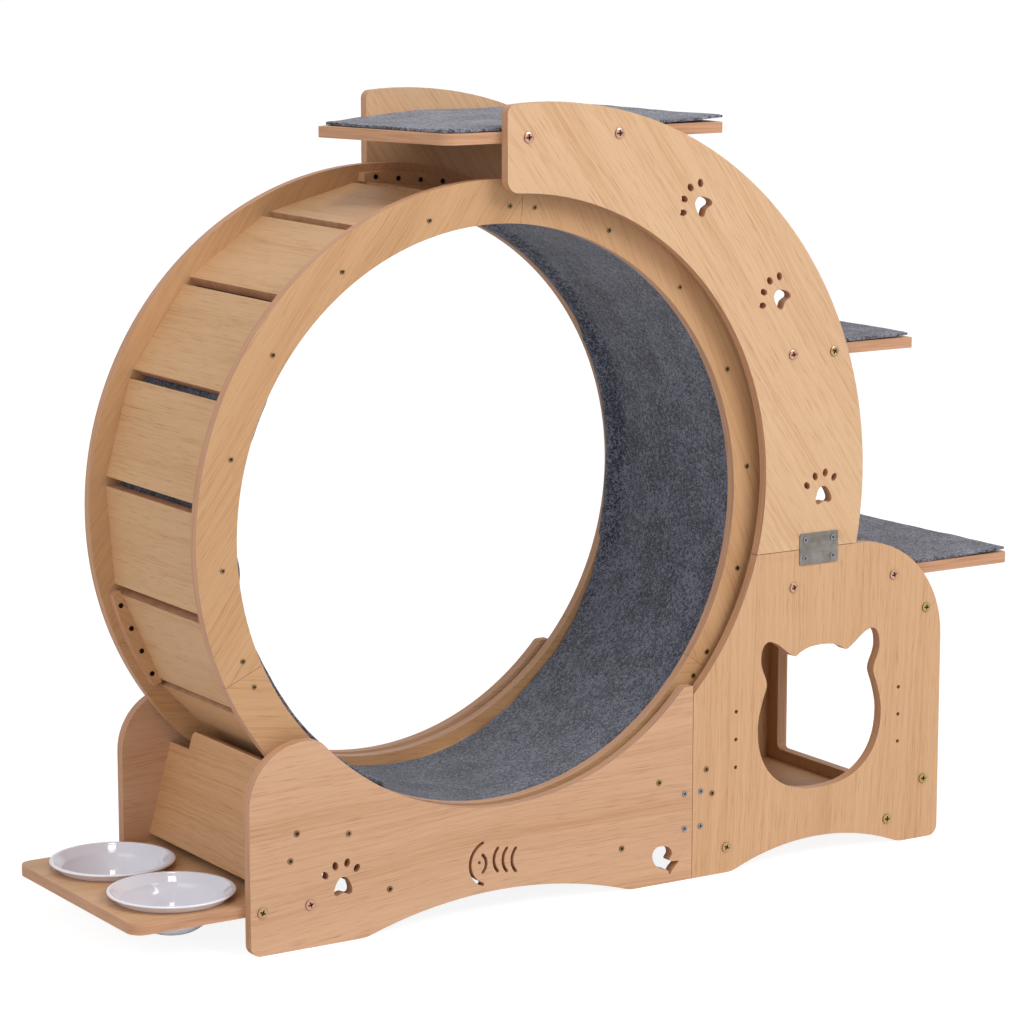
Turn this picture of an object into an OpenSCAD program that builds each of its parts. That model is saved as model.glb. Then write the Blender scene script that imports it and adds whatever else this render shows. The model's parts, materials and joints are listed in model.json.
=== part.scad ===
// Cat exercise wheel with play stand. X runs to the right, Y away from the viewer, Z up.
// The origin is on the floor, at the middle of the whole outline.

/* [Wheel] */
// Outer radius of the running wheel
wheel_r = 450; // [410:1:490]
// Width of the wheel over both rings
wheel_width = 323; // [290:1:350]
// Depth of a ring from its outer edge to its inner edge
ring_band = 59; // [54:1:66]
// Thickness of the ring boards
ring_thick = 15; // [12:0.5:18]
// Gap of the sawn joint between two ring segments
ring_seam = 0.4; // [0.2:0.1:0.8]
// Angle of the first ring joint and first slat, from the right-hand side upwards
first_joint_angle = 84.3; // [80:0.1:88]
// Thickness of a slat
slat_thick = 15; // [12:0.5:16]
// Gap between two neighbouring slats, at their inner faces
slat_gap = 8.2; // [6:0.2:20]
// How far the inner face of a slat lies outside the inner edge of a ring
slat_setback = 15; // [12:0.5:18]
// Thickness of the carpet on the track
carpet_thick = 5; // [3:0.5:7]
// Clearance between carpet and slats
carpet_gap = 0.3; // [0.2:0.1:0.6]
// Spacing of the two screws in a slat that bridges a joint
joint_screw_pitch = 39; // [30:1:50]
// Thickness of the splice plates behind the ring joints
splice_thick = 15; // [10:0.5:18]
// Length of a splice plate
splice_length = 145; // [130:1:160]
// How far a splice plate reaches outside the slat that it lies on
splice_depth = 18; // [16:0.5:20]
// Spacing of the two inner screws of a splice plate
splice_pitch_inner = 36; // [30:1:44]
// Spacing of the two outer screws of a splice plate
splice_pitch_outer = 109; // [96:1:114]
// How far the splice screws lie outside the slat
splice_screw_rise = 8; // [7:0.5:9]

/* [Rollers] */
// Angle of the rollers from straight below the wheel's centre
roller_angle = 32.1; // [28:0.1:36]
// Radius of the tread in the roller's groove
roller_r = 15; // [12:0.5:18]
// Depth of the groove
groove_depth = 4; // [2:0.5:5]
// Width of one flange beside the groove
flange_width = 3; // [2:0.5:4]
// Clearance at each side of the ring in the groove
groove_gap = 0.5; // [0.3:0.1:0.8]
// Running clearance between wheel and rollers
running_gap = 0.3; // [0.2:0.1:0.5]
// Radius of the axle screw
axle_r = 3.5; // [3:0.25:4]
// Wall of the sleeve that the roller turns on
sleeve_wall = 2.5; // [2:0.25:3.5]
// How far an axle screw reaches into the roller board
axle_grip = 30; // [20:1:40]

/* [Side panels] */
// Thickness of the side panels
panel_thick = 15; // [12:0.5:18]
// Clearance between wheel and side panels
panel_gap = 14.5; // [10:0.5:20]
// Clearance of the wheel over the floor
floor_gap = 90; // [80:1:110]
// How far the panel's cradle arc lies inside the wheel's outer edge
cradle_overlap = 59; // [50:1:64]
// Radius of the rounded lobe at the upper left of the base
lobe_r = 82; // [78:1:88]
// Distance of the lobe's centre from the cradle arc
lobe_out = 72.7; // [68:0.1:76]
// Angle of the lobe's centre below the horizontal
lobe_angle = 47.7; // [45:0.1:50]
// Radius that blends the lobe into the cradle arc
tip_round = 25; // [18:1:30]
// Angle below the horizontal where the cradle arc ends at the right
seam_angle = 42.5; // [40:0.1:45]
// Length of the flat between the end of the arc and the upright joint
seam_flat = 15.6; // [14:0.1:20]
// Radius at the end of the cradle arc
seam_round = 8; // [5:1:10]
// Gap in the joints of the side panels
panel_seam = 0.8; // [0.3:0.1:0.9]
// Radius of the bottom corners
foot_round = 15; // [10:1:20]
// Width of the left foot of the base
base_foot_left = 172; // [140:1:190]
// Width of the right foot of the base, up to the joint
base_foot_right = 104; // [80:1:120]
// Rise of the arch under the base
base_arch_rise = 33.5; // [25:0.5:40]
// Width of the left foot of the house, from the joint
house_foot_left = 68; // [50:1:90]
// Width of the right foot of the house
house_foot_right = 71.5; // [60:0.5:90]
// Rise of the arch under the house
house_arch_rise = 30; // [20:0.5:36]
// Radius that blends a foot into an arch
arch_blend = 50; // [40:1:60]
// How far the house reaches to the right of the wheel
house_reach = 291.5; // [280:0.5:320]
// Radius of the upper right corner of the house
house_corner = 150; // [130:1:170]
// How far the joint between house and arc lies below the wheel's centre
joint_drop = 90; // [80:1:100]
// How far the round opening's edge lies inside the wheel's outer edge
opening_overlap = 34; // [28:1:40]
// Opening's centre to the right of the wheel's centre
opening_shift = 8.7; // [6:0.1:12]
// Opening's centre above the wheel's centre
opening_lift = 16.3; // [12:0.1:20]
// Width of the arc board, from the opening's radius to the outer radius
arc_band = 122; // [115:1:130]
// Outer edge's centre to the right of the wheel's centre
arc_shift = 56.2; // [50:0.1:62]
// Outer edge's centre above the wheel's centre
arc_lift = 12; // [8:0.1:16]
// Radius of the upper corner at the arc's left end
arc_end_upper = 11; // [8:1:20]
// Radius of the lower corner at the arc's left end
arc_end_lower = 18; // [12:1:24]

/* [Cat house] */
// Half width of the cat-face door
door_half = 109.5; // [95:0.5:115]
// Height of the cat-face door
door_height = 222.5; // [200:0.5:230]
// Height of the door's chin above the floor
door_sill = 101; // [90:1:110]
// Distance of the door's middle from the right edge of the house
door_inset = 216.5; // [205:0.5:225]
// Thickness of the house floor and end board
house_board = 15; // [12:0.5:18]
// Height of the house floor's underside above the floor
floor_height = 29.5; // [28:0.5:40]
// Distance of the end board's outer face from the right edge of the house
end_inset = 20.5; // [16:0.5:26]
// How far the end board's top lies below the top of the house
end_drop = 92; // [85:1:100]
// Width of the wood left at each side of the doorway in the end board
doorway_post = 24; // [20:1:40]
// Wood left between the tip of an end board's bolt and the doorway
end_bolt_cover = 3; // [2:0.5:6]
// Height of the doorway's lower edge above the floor
doorway_sill = 62; // [55:1:70]
// Distance of the doorway's upper edge from the top of the end board
doorway_head = 44; // [36:1:60]
// Radius of the doorway's corners
doorway_round = 10; // [5:1:16]
// Radius of the small holes beside the door
peg_r = 2.8; // [2:0.1:3.5]
// Spacing of the small holes
peg_pitch = 40; // [34:1:46]
// Height of the middle small hole above the floor
peg_height = 190; // [180:1:200]
// Distance of a column of small holes from the middle between the columns
peg_offset = 144; // [136:1:150]
// Distance of the middle between the columns from the right edge of the house
peg_inset = 219.5; // [214:0.5:224]

/* [Platforms] */
// Thickness of the platforms
platform_thick = 15; // [12:0.5:18]
// Thickness of the felt mats
mat_thick = 5; // [3:0.5:7]
// How far a mat stays inside its platform's edge
mat_inset = 4; // [2:0.5:8]
// Gap between the wheel's top and the top platform's underside
top_rise = 47.5; // [42:0.5:56]
// Right end of the top platform from the wheel's centre
top_right = 354.5; // [330:0.5:370]
// Left front corner of the top platform from the wheel's centre
top_left = 82; // [70:1:95]
// Radius of the left front corner of the top platform
top_round = 25; // [15:1:35]
// Left tip of the top platform from the wheel's centre
top_tip = 150; // [135:1:160]
// How far the tip lies behind the middle plane
top_tip_back = 45; // [30:1:60]
// Left rear corner of the top platform, to the right of the wheel's centre
top_rear = 70; // [55:1:85]
// Level of the middle platform's top above the wheel's centre
middle_level = 194.5; // [180:0.5:205]
// Clearance between wheel and middle platform
middle_gap = 17.8; // [12:0.1:24]
// Length of the middle platform
middle_length = 258; // [240:1:280]
// How far the low platform's top lies below the top of the house
low_drop = 46; // [40:1:52]
// Clearance between wheel and low platform
low_gap = 10.3; // [8:0.1:16]
// How far the low platform reaches past the right edge of the house
low_reach = 137.5; // [120:0.5:150]
// Radius of the low platform's right corners
low_round = 12; // [8:1:20]

/* [Bowl shelf] */
// Thickness of the shelf
shelf_thick = 15; // [12:0.5:18]
// Height of the shelf's top above the floor
shelf_height = 66; // [64:0.5:72]
// How far the shelf reaches to the left of the wheel
shelf_reach = 105; // [92:1:112]
// Length of the shelf
shelf_length = 270; // [250:1:285]
// Radius of the shelf's left corners
shelf_round = 20; // [12:1:30]
// Gap between the bowls' rims and the shelf's left end
bowl_margin = 15; // [8:1:20]
// Gap between the two bowls' rims
bowl_spacing = 4; // [2:0.5:6]
// Outer radius of a bowl's rim
bowl_rim_r = 85; // [83:0.5:86]
// How far the rim reaches outside the part in the hole
bowl_lip = 13; // [10:0.5:15]
// Height of a bowl's rim above the shelf
bowl_lip_height = 12; // [9:0.5:14]
// Width of the ledge that rests on the shelf
bowl_ledge = 3; // [2.5:0.25:4]
// How far the rolled rim stands out
bowl_roll = 3; // [1.5:0.5:4]
// Height of the rolled rim
bowl_roll_height = 5; // [3:0.5:6]
// Depth of a bowl below its rim
bowl_depth = 44; // [40:1:50]
// Radius of a bowl's foot
bowl_foot_r = 27; // [24:1:42]
// Fullness of a bowl's side: 1 is a cone, 2 is an ellipse
bowl_fullness = 1.3; // [1.1:0.1:2]
// Wall of a bowl
bowl_wall = 4.6; // [3.5:0.1:6]
// Clearance of a bowl in its hole
bowl_gap = 1; // [0.6:0.1:1.5]
// Clearance under a bowl's rim
bowl_seat_gap = 0.3; // [0.2:0.1:0.4]

/* [Cradle boards] */
// Thickness of the guard boards and roller boards
cradle_board = 15; // [12:0.5:16]
// Angle of the guard boards' upper screws below the horizontal
guard_angle = 49.7; // [48.5:0.1:51]
// Distance of the left guard's upper screw from the wheel's outer edge
guard_gap_left = 52.1; // [50:0.1:54]
// Distance of the right guard's upper screw from the wheel's outer edge
guard_gap_right = 56; // [54:0.1:58]
// Lean of the guard boards from the upright
guard_lean = 15.8; // [14:0.1:17]
// Length of a guard board from its upper screw to its shoulders
guard_shoulder = 46; // [40:1:50]
// Length of a guard board from its upper screw to its top between the rings
guard_top = 72; // [60:1:74]
// Length of a guard board from its upper screw to its lower edge
guard_foot = 84; // [75:1:86]
// Clearance between a guard board's middle part and the splice plates
guard_side_gap = 9.5; // [6:0.5:14]
// Radius of the upper corners of a guard board's middle part
guard_round = 10; // [6:1:16]
// Spacing of a guard board's screws
guard_pitch = 37; // [30:1:44]
// Lean of the roller boards from the horizontal
roller_lean = 53.8; // [50:0.1:58]
// Distance of a roller board's lower screw from the axle
roller_screw = 105; // [90:1:110]
// Length of a roller board above its axle
roller_head = 10; // [9:0.5:12]
// Length of a roller board below its lower screw
roller_foot = 18; // [14:1:22]
// Clearance between a roller and the board's notch
notch_gap = 2; // [1:0.5:3]
// Depth of the notch around the roller, below the axle
notch_depth = 24; // [22:1:32]

/* [Joint blocks and steel plates] */
// Width of a joint block
block_width = 41; // [38:1:42]
// Height of a joint block
block_height = 66; // [62:1:68]
// Thickness of a joint block
block_thick = 18; // [12:1:24]
// Height of a joint block's middle above the floor
block_level = 99; // [95:1:105]
// Sideways spacing of a joint block's screws
block_pitch_x = 27.3; // [24:0.1:32]
// Upright spacing of a joint block's screws
block_pitch_z = 50; // [44:1:56]
// Width of a steel plate
plate_width = 67; // [60:1:74]
// Height of a steel plate
plate_height = 45; // [40:1:50]
// Thickness of a steel plate
plate_thick = 1.6; // [1:0.1:2.5]
// Distance of a steel plate's middle from the arc's outer end
plate_inset = 67; // [55:1:80]
// Radius of a steel plate's corners
plate_round = 3; // [1:0.5:6]
// Sideways spacing of a steel plate's screws
plate_pitch_x = 48; // [42:1:54]
// Upright spacing of a steel plate's screws
plate_pitch_z = 26; // [22:1:30]

/* [Screws] */
// Radius of a large bolt's head
bolt_head_r = 7; // [6:0.25:8]
// Height of a large bolt's head
bolt_head_h = 2.6; // [2:0.1:3.5]
// Radius of a large bolt's shaft
bolt_r = 3; // [2.5:0.25:3.5]
// Length of a large bolt under its head
bolt_length = 55; // [40:1:70]
// Radius of a small screw's head
screw_head_r = 4.25; // [3.5:0.25:5]
// Height of a small screw's head
screw_head_h = 1.2; // [0.8:0.1:2]
// Radius of a small screw's shaft
screw_r = 2; // [1.5:0.25:2.5]
// Length of a small screw under its head
screw_length = 45; // [35:1:55]
// Length of a steel plate's or joint block's screw under its head
short_length = 13; // [10:0.5:13.5]
// Radius of a ring screw's head
ring_head_r = 3.5; // [3:0.25:4.5]
// Length of a ring screw under its head
ring_screw_length = 45; // [35:1:55]
// Length of a splice screw under its head
splice_screw_length = 26; // [20:1:28]
// Clearance round a screw's shaft
shaft_gap = 0.2; // [0.15:0.05:0.4]
// Clearance past a screw's tip
tip_gap = 0.5; // [0.3:0.1:1]

/* [Cut-outs] */
// Width of a paw's pad
paw_pad = 26; // [22:1:30]
// Short axis of a paw's toe
toe_width = 8.8; // [7:0.1:10]
// Long axis of a paw's toe
toe_length = 11.8; // [9:0.1:13]
// Distance of the base's paw from the wheel's outer edge
base_paw_out = 80.5; // [76:0.5:86]
// Angle of the base's paw below the horizontal at the left
base_paw_angle = 61.15; // [60:0.05:62]
// Distance of the arc's upper paw from the wheel's outer edge
upper_paw_out = 59.1; // [50:0.1:66]
// Angle of the arc's upper paw
upper_paw_angle = 52.2; // [48:0.1:54]
// Distance of the arc's middle paw from the wheel's outer edge
middle_paw_out = 70.7; // [62:0.1:76]
// Angle of the arc's middle paw
middle_paw_angle = 30.9; // [29:0.1:33]
// Turn of the arc's upper and middle paws
upper_paw_turn = 50; // [40:1:60]
// Distance of the arc's lower paw from the wheel's outer edge
lower_paw_out = 75.1; // [68:0.1:84]
// Angle of the arc's lower paw
lower_paw_angle = -1.75; // [-3:0.05:0]
// Turn of the arc's lower paw
lower_paw_turn = 6; // [0:1:12]
// Width of a fishbone slot
bone_width = 4.6; // [3:0.1:5.5]
// Height of a fishbone rib
bone_height = 32; // [26:1:38]
// Bulge of a fishbone rib
bone_bulge = 6.3; // [4:0.1:8]
// Spacing of the fishbone ribs
bone_pitch = 14.35; // [12:0.05:17]
// How far each rib lies below the one before it
bone_step = 2; // [0:0.5:4]
// Height of the fishbone's head
bone_head_height = 57.7; // [50:0.1:64]
// Bulge of the fishbone's head
bone_head_bulge = 20; // [16:0.5:24]
// Height of the fishbone's collar
bone_collar_height = 24; // [20:0.5:28]
// Bulge of the fishbone's collar
bone_collar_bulge = 5.4; // [4:0.1:7]
// Radius of the fishbone's eye
bone_eye_r = 2.2; // [1.5:0.1:3]
// Distance of the fishbone's head below the cradle arc's lowest point
bone_drop = 75.5; // [70:0.5:82]
// Ends of the fishbone's head to the left of the wheel's centre
bone_shift = 40; // [30:1:50]
// Width of the little fish
fish_width = 45.4; // [40:0.1:50]
// Height of the little fish
fish_height = 42.6; // [36:0.1:46]
// Distance of the little fish's left side from the upright joint
fish_inset = 67; // [62:1:74]
// Height of the little fish's lowest point above the floor
fish_sill = 11.5; // [10:0.5:16]

/* [Hidden] */
$fn = 64;
// overrun of every cut
over = 1;
// counts that the object has
slat_count = 18;
ring_parts = 3;
roller_count = 4;
peg_count = 3;
rib_count = 3;
// colours
oak = "#D8B088";
oak_edge = "#B08A68";
felt = "#55555F";
steel = "#B9BBBE";
brass = "#C9A15A";
copper = "#C98F63";
dark_steel = "#3A3531";
glaze = "#F7F7F5";
nylon = "#E8E6E0";

// places of the wheel
axle_height = wheel_r + floor_gap;
floor_z = -axle_height;
ring_r = wheel_r - ring_band;
ring_face = wheel_width / 2;
ring_back = ring_face - ring_thick;
slat_length = 2 * ring_back;
slat_inner = ring_r + slat_setback;
slat_outer = slat_inner + slat_thick;
slat_mid = slat_inner + slat_thick / 2;
slat_step = 360 / slat_count;
slat_width = 2 * slat_inner * tan(slat_step / 2) - slat_gap;
ring_span = 360 / ring_parts;
splice_r = slat_outer + splice_depth;
splice_back = ring_back - splice_thick;

// places of the stand
panel_back = ring_face + panel_gap;
panel_face = panel_back + panel_thick;
cradle_r = wheel_r - cradle_overlap;
opening_r = wheel_r - opening_overlap;
opening_c = [opening_shift, opening_lift];
arc_r = opening_r + arc_band;
arc_c = [arc_shift, arc_lift];
joint_z = -joint_drop;
base_top_z = -cradle_r * sin(seam_angle);
seam_x = cradle_r * cos(seam_angle) + seam_flat;
house_left = seam_x + panel_seam;
house_right = wheel_r + house_reach;
house_top = joint_z - panel_seam;
arc_outer_x = arc_shift + other_side(arc_r, joint_z - arc_lift);

// places of the boards
shelf_left = -wheel_r - shelf_reach;
shelf_right = shelf_left + shelf_length;
shelf_z = floor_z + shelf_height - shelf_thick;
shelf_mid = shelf_z + shelf_thick / 2;
bowl_x = shelf_left + bowl_margin + bowl_rim_r;
bowl_pitch = 2 * bowl_rim_r + bowl_spacing;
bowl_body_r = bowl_rim_r - bowl_lip;
top_z = wheel_r + top_rise;
middle_z = middle_level - platform_thick;
middle_left = other_side(wheel_r + middle_gap, middle_z);
low_top = joint_z - low_drop;
low_z = low_top - platform_thick;
low_left = other_side(wheel_r + low_gap, low_top);
low_right = house_right + low_reach;
floor_board_z = floor_z + floor_height;
end_face = house_right - end_inset;
end_back = end_face - house_board;
end_top = house_top - end_drop;
doorway_half = panel_back - doorway_post;
end_bolt_length = panel_thick + doorway_post - end_bolt_cover;
floor_left = seam_x + 2 * house_board;
wheel_x = (-shelf_left - low_right) / 2;

// screws along the boards, as shares from the end of each board
top_bolt_shares = [0.09, 0.495];
middle_bolt_shares = [0.141, 0.418];
low_bolt_shares = [0.08, 0.486];
floor_bolt_shares = [0.077, 0.845];
end_bolt_shares = [0.045, 0.82];
// the shelf's bolts, as shares of its overlap with the base panel
shelf_bolt_shares = [0.156, 0.807];

// rollers
roller_ring_r = wheel_r + running_gap + roller_r;
roller_y = ring_face - ring_thick / 2;
groove_width = ring_thick + 2 * groove_gap;
roller_width = groove_width + 2 * flange_width;
flange_r = roller_r + groove_depth;
sleeve_r = axle_r + shaft_gap + sleeve_wall;
notch_y = roller_y - roller_width / 2 - notch_gap;
axle_length = panel_face - notch_y + axle_grip;
axle_left = polar(roller_ring_r, 270 - roller_angle);
axle_right = polar(roller_ring_r, 270 + roller_angle);

// guards
guard_left = polar(wheel_r + guard_gap_left, 180 + guard_angle);
guard_right = polar(wheel_r + guard_gap_right, -guard_angle);
guard_half = splice_back - guard_side_gap;

// table of the door's upper half: sideways shares of door_half, upright shares of door_height
door_shares = [
    [0, 0.937], [0.183, 0.930], [0.329, 0.904], [0.4155, 0.881], [0.53, 0.914], [0.676, 0.9685],
    [0.80, 0.997], [0.88, 0.992], [0.938, 0.955], [0.957, 0.905], [0.955, 0.862], [0.925, 0.812],
    [0.881, 0.765], [0.863, 0.7236], [0.877, 0.688], [0.922, 0.630], [0.968, 0.552], [0.992, 0.495]
];
// height share where the door's round chin begins, and its squareness
chin_share = 0.449;
chin_power_share = 2.3;
// table of the little fish: shares of fish_width and fish_height
fish_shares = [
    [0, 0.70], [0.04, 0.876], [0.163, 0.981], [0.361, 1], [0.56, 0.958], [0.692, 0.84],
    [0.736, 0.70], [0.692, 0.606], [0.637, 0.523], [0.67, 0.465], [0.802, 0.43], [1, 0.411],
    [0.802, 0.207], [0.654, 0], [0.615, 0.113], [0.537, 0.183], [0.361, 0.242], [0.185, 0.336],
    [0.064, 0.488]
];
// where the first rib of the fishbone lies, as a share of the ribs' spacing
rib_start_share = -0.05;
// profile of a screw's head: shares of its radius and height
head_shares = [[1, 0], [1, 0.35], [0.82, 0.78], [0.45, 1], [0, 1]];
// profile of a bowl's rolled rim: shares of the roll's width and height, inwards from its lower edge
rim_shares = [[0.2, 0], [0, 0.25], [0, 0.7], [0.3, 0.95], [0.7, 1]];
well_share = 0.8;
// table of an upright paw: places of the four toes and points of the pad, shares of paw_pad
toe_shares = [[-1.04, 0.72], [-0.45, 1.12], [0.24, 1.2], [0.8, 0.85]];
toe_turn_shares = [36, 12, -12, -36];
pad_shares = [
    [0, 0.5], [0.2, 0.45], [0.36, 0.26], [0.47, 0.02], [0.53, -0.2], [0.5, -0.38], [0.36, -0.46],
    [0.18, -0.39], [0, -0.34], [-0.18, -0.39], [-0.36, -0.46], [-0.5, -0.38], [-0.53, -0.2],
    [-0.47, 0.02], [-0.36, 0.26], [-0.2, 0.45]
];

// points in the upright plane, seen from the front
function places(start, length, shares) = [for (s = shares) start + length * s];
function polar(r, a) = [r * cos(a), r * sin(a)];
function bearing(p, q) = atan2(q[1] - p[1], q[0] - p[0]);
function unit(v) = v / norm(v);
function arc(c, r, a0, a1, n = 24) = [for (i = [0:n]) c + polar(r, a0 + (a1 - a0) * i / n)];
function four_places(c, pitch_x, pitch_z) = [
    for (i = [-1, 1], j = [-1, 1]) c + [i * pitch_x / 2, j * pitch_z / 2]
];
// one of the two points where two circles meet
function meet(c0, r0, c1, r1, side) =
    let (d = norm(c1 - c0), u = (c1 - c0) / d, a = (r0 * r0 - r1 * r1 + d * d) / (2 * d))
    c0 + a * u + side * sqrt(max(0, r0 * r0 - a * a)) * [-u[1], u[0]];
// the other short side of a triangle with a right angle
function other_side(long, short) = sqrt(long * long - short * short);
// rounded corner at c between the sides towards p and q
function corner(p, c, q, r, n = 8) =
    let (
        u = unit(p - c),
        v = unit(q - c),
        half = acos(u * v) / 2,
        m = c + unit(u + v) * r / sin(half),
        a0 = bearing(m, c + u * r / tan(half)),
        a1 = bearing(m, c + v * r / tan(half)),
        d = ((a1 - a0 + 540) % 360) - 180
    )
    [for (i = [0:n]) m + polar(r, a0 + d * i / n)];
function rounded(pts, rs) =
    let (n = len(pts))
    [for (i = [0:n - 1]) each
        rs[i] > 0 ? corner(pts[(i + n - 1) % n], pts[i], pts[(i + 1) % n], rs[i]) : [pts[i]]];
// smooth run through a list of points
function smooth_point(a, b, c, d, t) =
    ((2 * b) + (c - a) * t + (2 * a - 5 * b + 4 * c - d) * t * t + (3 * b - a - 3 * c + d) * t * t * t) / 2;
function smooth(pts, n = 3) =
    let (m = len(pts))
    [for (i = [0:m - 2], j = [0:n - 1])
        smooth_point(pts[max(i - 1, 0)], pts[i], pts[i + 1], pts[min(i + 2, m - 1)], j / n)];
function smooth_loop(pts, n = 3) =
    let (m = len(pts))
    [for (i = [0:m - 1], j = [0:n - 1])
        smooth_point(pts[(i + m - 1) % m], pts[i], pts[(i + 1) % m], pts[(i + 2) % m], j / n)];

// arch under a panel from its right-hand foot to its left-hand foot
function arch(left, right, rise) =
    let (
        half = (right - left) / 2,
        mid = (right + left) / 2,
        r = (half * half + rise * rise) / (2 * rise),
        c = [mid, floor_z + rise - r],
        up = arch_blend + r - rise,
        reach = sqrt((r + arch_blend) * (r + arch_blend) - up * up),
        lean = atan2(up, reach)
    )
    concat(
        arc([mid + reach, floor_z + arch_blend], arch_blend, 270, 180 + lean, 6),
        arc(c, r, lean, 180 - lean, 20),
        arc([mid - reach, floor_z + arch_blend], arch_blend, 360 - lean, 270, 6)
    );

// outline of the base board
lobe_c = polar(cradle_r + lobe_out, 180 + lobe_angle);
base_left = lobe_c[0] - lobe_r;
tip_c = meet([0, 0], cradle_r + tip_round, lobe_c, lobe_r - tip_round, -1);
seam_c = [other_side(cradle_r + seam_round, base_top_z - seam_round), base_top_z - seam_round];
seam_bearing = bearing([0, 0], seam_c);
base_outline = concat(
    arc([base_left + foot_round, floor_z + foot_round], foot_round, 270, 180, 8),
    arc(lobe_c, lobe_r, 180, bearing(lobe_c, tip_c), 16),
    arc(tip_c, tip_round, bearing(lobe_c, tip_c), bearing(tip_c, [0, 0]), 8),
    arc([0, 0], cradle_r, 360 + bearing([0, 0], tip_c), 360 + seam_bearing, 48),
    arc(seam_c, seam_round, 180 + seam_bearing, 90, 6),
    [[seam_x, base_top_z], [seam_x, floor_z]],
    arch(base_left + base_foot_left, seam_x - base_foot_right, base_arch_rise)
);

// outline of the house board
house_outline = concat(
    [[house_left, floor_z]],
    arc(
        opening_c,
        opening_r,
        -acos((house_left - opening_shift) / opening_r),
        asin((house_top - opening_lift) / opening_r),
        16
    ),
    arc([house_right - house_corner, house_top - house_corner], house_corner, 90, 0, 16),
    arc([house_right - foot_round, floor_z + foot_round], foot_round, 0, -90, 8),
    arch(house_left + house_foot_left, house_right - house_foot_right, house_arch_rise)
);

// outline of the arc board
arc_low_c = [
    arc_end_lower,
    opening_lift + other_side(opening_r + arc_end_lower, arc_end_lower - opening_shift)
];
arc_high_c = [arc_end_upper, arc_lift + other_side(arc_r - arc_end_upper, arc_end_upper - arc_shift)];
arc_outline = concat(
    arc(opening_c, opening_r, asin((joint_z - opening_lift) / opening_r), bearing(opening_c, arc_low_c), 48),
    arc(arc_low_c, arc_end_lower, 180 + bearing(opening_c, arc_low_c), 180, 8),
    arc(arc_high_c, arc_end_upper, 180, bearing(arc_c, arc_high_c), 8),
    arc(arc_c, arc_r, bearing(arc_c, arc_high_c), asin((joint_z - arc_lift) / arc_r), 48)
);

// outline of the cat-face door
door_x = house_right - door_inset;
door_z = floor_z + door_sill;
chin_height = chin_share * door_height;
door_side = smooth(concat(
    [for (s = door_shares) [s[0] * door_half, s[1] * door_height]],
    [[door_half, chin_height]]
));
door_chin = [
    for (i = [0:14])
        let (t = 90 * i / 15, p = 2 / chin_power_share)
        [door_half * pow(cos(t), p), chin_height * (1 - pow(sin(t), p))]
];
door_right_side = concat(door_side, door_chin);
door_count = len(door_right_side);
door_outline = concat(
    door_right_side,
    [[0, 0]],
    [for (i = [door_count - 1:-1:1]) [-door_right_side[i][0], door_right_side[i][1]]]
);

// places of the panels' screws
guard_left_screws = [guard_left, guard_left + polar(guard_pitch, 270 - guard_lean)];
guard_right_screws = [guard_right, guard_right + polar(guard_pitch, 270 + guard_lean)];
roller_left_screw = axle_left + polar(roller_screw, -roller_lean);
roller_right_screw = axle_right + polar(roller_screw, 180 + roller_lean);
block_z = floor_z + block_level;
plate_x = arc_outer_x - plate_inset;
plate_z = joint_z - panel_seam / 2;
base_bolts = [for (x = places(base_left, shelf_right - base_left, shelf_bolt_shares)) [x, shelf_mid]];
floor_mid = floor_board_z + house_board / 2;
low_mid = low_z + platform_thick / 2;
house_bolts = concat(
    [for (x = places(floor_left, end_back - floor_left, floor_bolt_shares)) [x, floor_mid]],
    [for (x = places(low_left, low_right - low_left, low_bolt_shares)) [x, low_mid]]
);
end_bolts = [
    for (z = places(end_top, floor_board_z - end_top, end_bolt_shares)) [end_back + house_board / 2, z]
];
arc_bolts = concat(
    [for (x = places(0, top_right, top_bolt_shares)) [x, top_z + platform_thick / 2]],
    [for (x = places(middle_left, middle_length, middle_bolt_shares)) [x, middle_z + platform_thick / 2]]
);
base_screws = concat(guard_left_screws, [roller_left_screw, roller_right_screw]);
house_screws = guard_right_screws;
block_c = [seam_x + panel_seam / 2, block_z];
block_screw_length = panel_thick + short_length;
plate_c = [plate_x, plate_z];
plate_face = panel_face + plate_thick;
block_screws = four_places(block_c, block_pitch_x, block_pitch_z);
steel_screws = four_places(plate_c, plate_pitch_x, plate_pitch_z);
peg_c = [house_right - peg_inset, floor_z + peg_height];
peg_holes = [
    for (i = [-1, 1], j = [0:peg_count - 1])
        peg_c + [i * peg_offset, (j - (peg_count - 1) / 2) * peg_pitch]
];

// everything is drawn round the wheel's centre and set on the floor here
module placed() {
    translate([wheel_x, 0, axle_height])
        children();
}

// a flat shape seen from the front, between two depths
module slab(y0, y1) {
    translate([0, y1, 0])
        rotate([90, 0, 0])
            linear_extrude(height = y1 - y0)
                children();
}

// a straight hole or pin along the depth
module rod(p, y0, y1, r) {
    translate([p[0], y1, p[1]])
        rotate([90, 0, 0])
            cylinder(h = y1 - y0, r = r);
}

// the same on one side of the object, from its inner to its outer depth; side is -1 in front, 1 behind
module side_slab(side, inner, outer) {
    slab(side < 0 ? -outer : inner, side < 0 ? -inner : outer)
        children();
}

module side_rod(p, side, inner, outer, r) {
    rod(p, side < 0 ? -outer : inner, side < 0 ? -inner : outer, r);
}

module at_angle(a) {
    rotate([0, -a, 0])
        children();
}

// a screw whose head sits on a face
module screw(p, side, face, length, r, head_r, head_h) {
    translate([p[0], side * face, p[1]])
        rotate([-side * 90, 0, 0])
            rotate_extrude()
                polygon(concat(
                    [[0, -length], [r, -length], [r, 0]],
                    [for (s = head_shares) [s[0] * head_r, s[1] * head_h]]
                ));
}

// holes for a list of screws, from the outer face inwards
module screw_holes(points, r, length) {
    for (p = points)
        for (side = [-1, 1])
            side_rod(p, side, panel_face - length - tip_gap, panel_face + over, r + shaft_gap);
}

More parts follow.
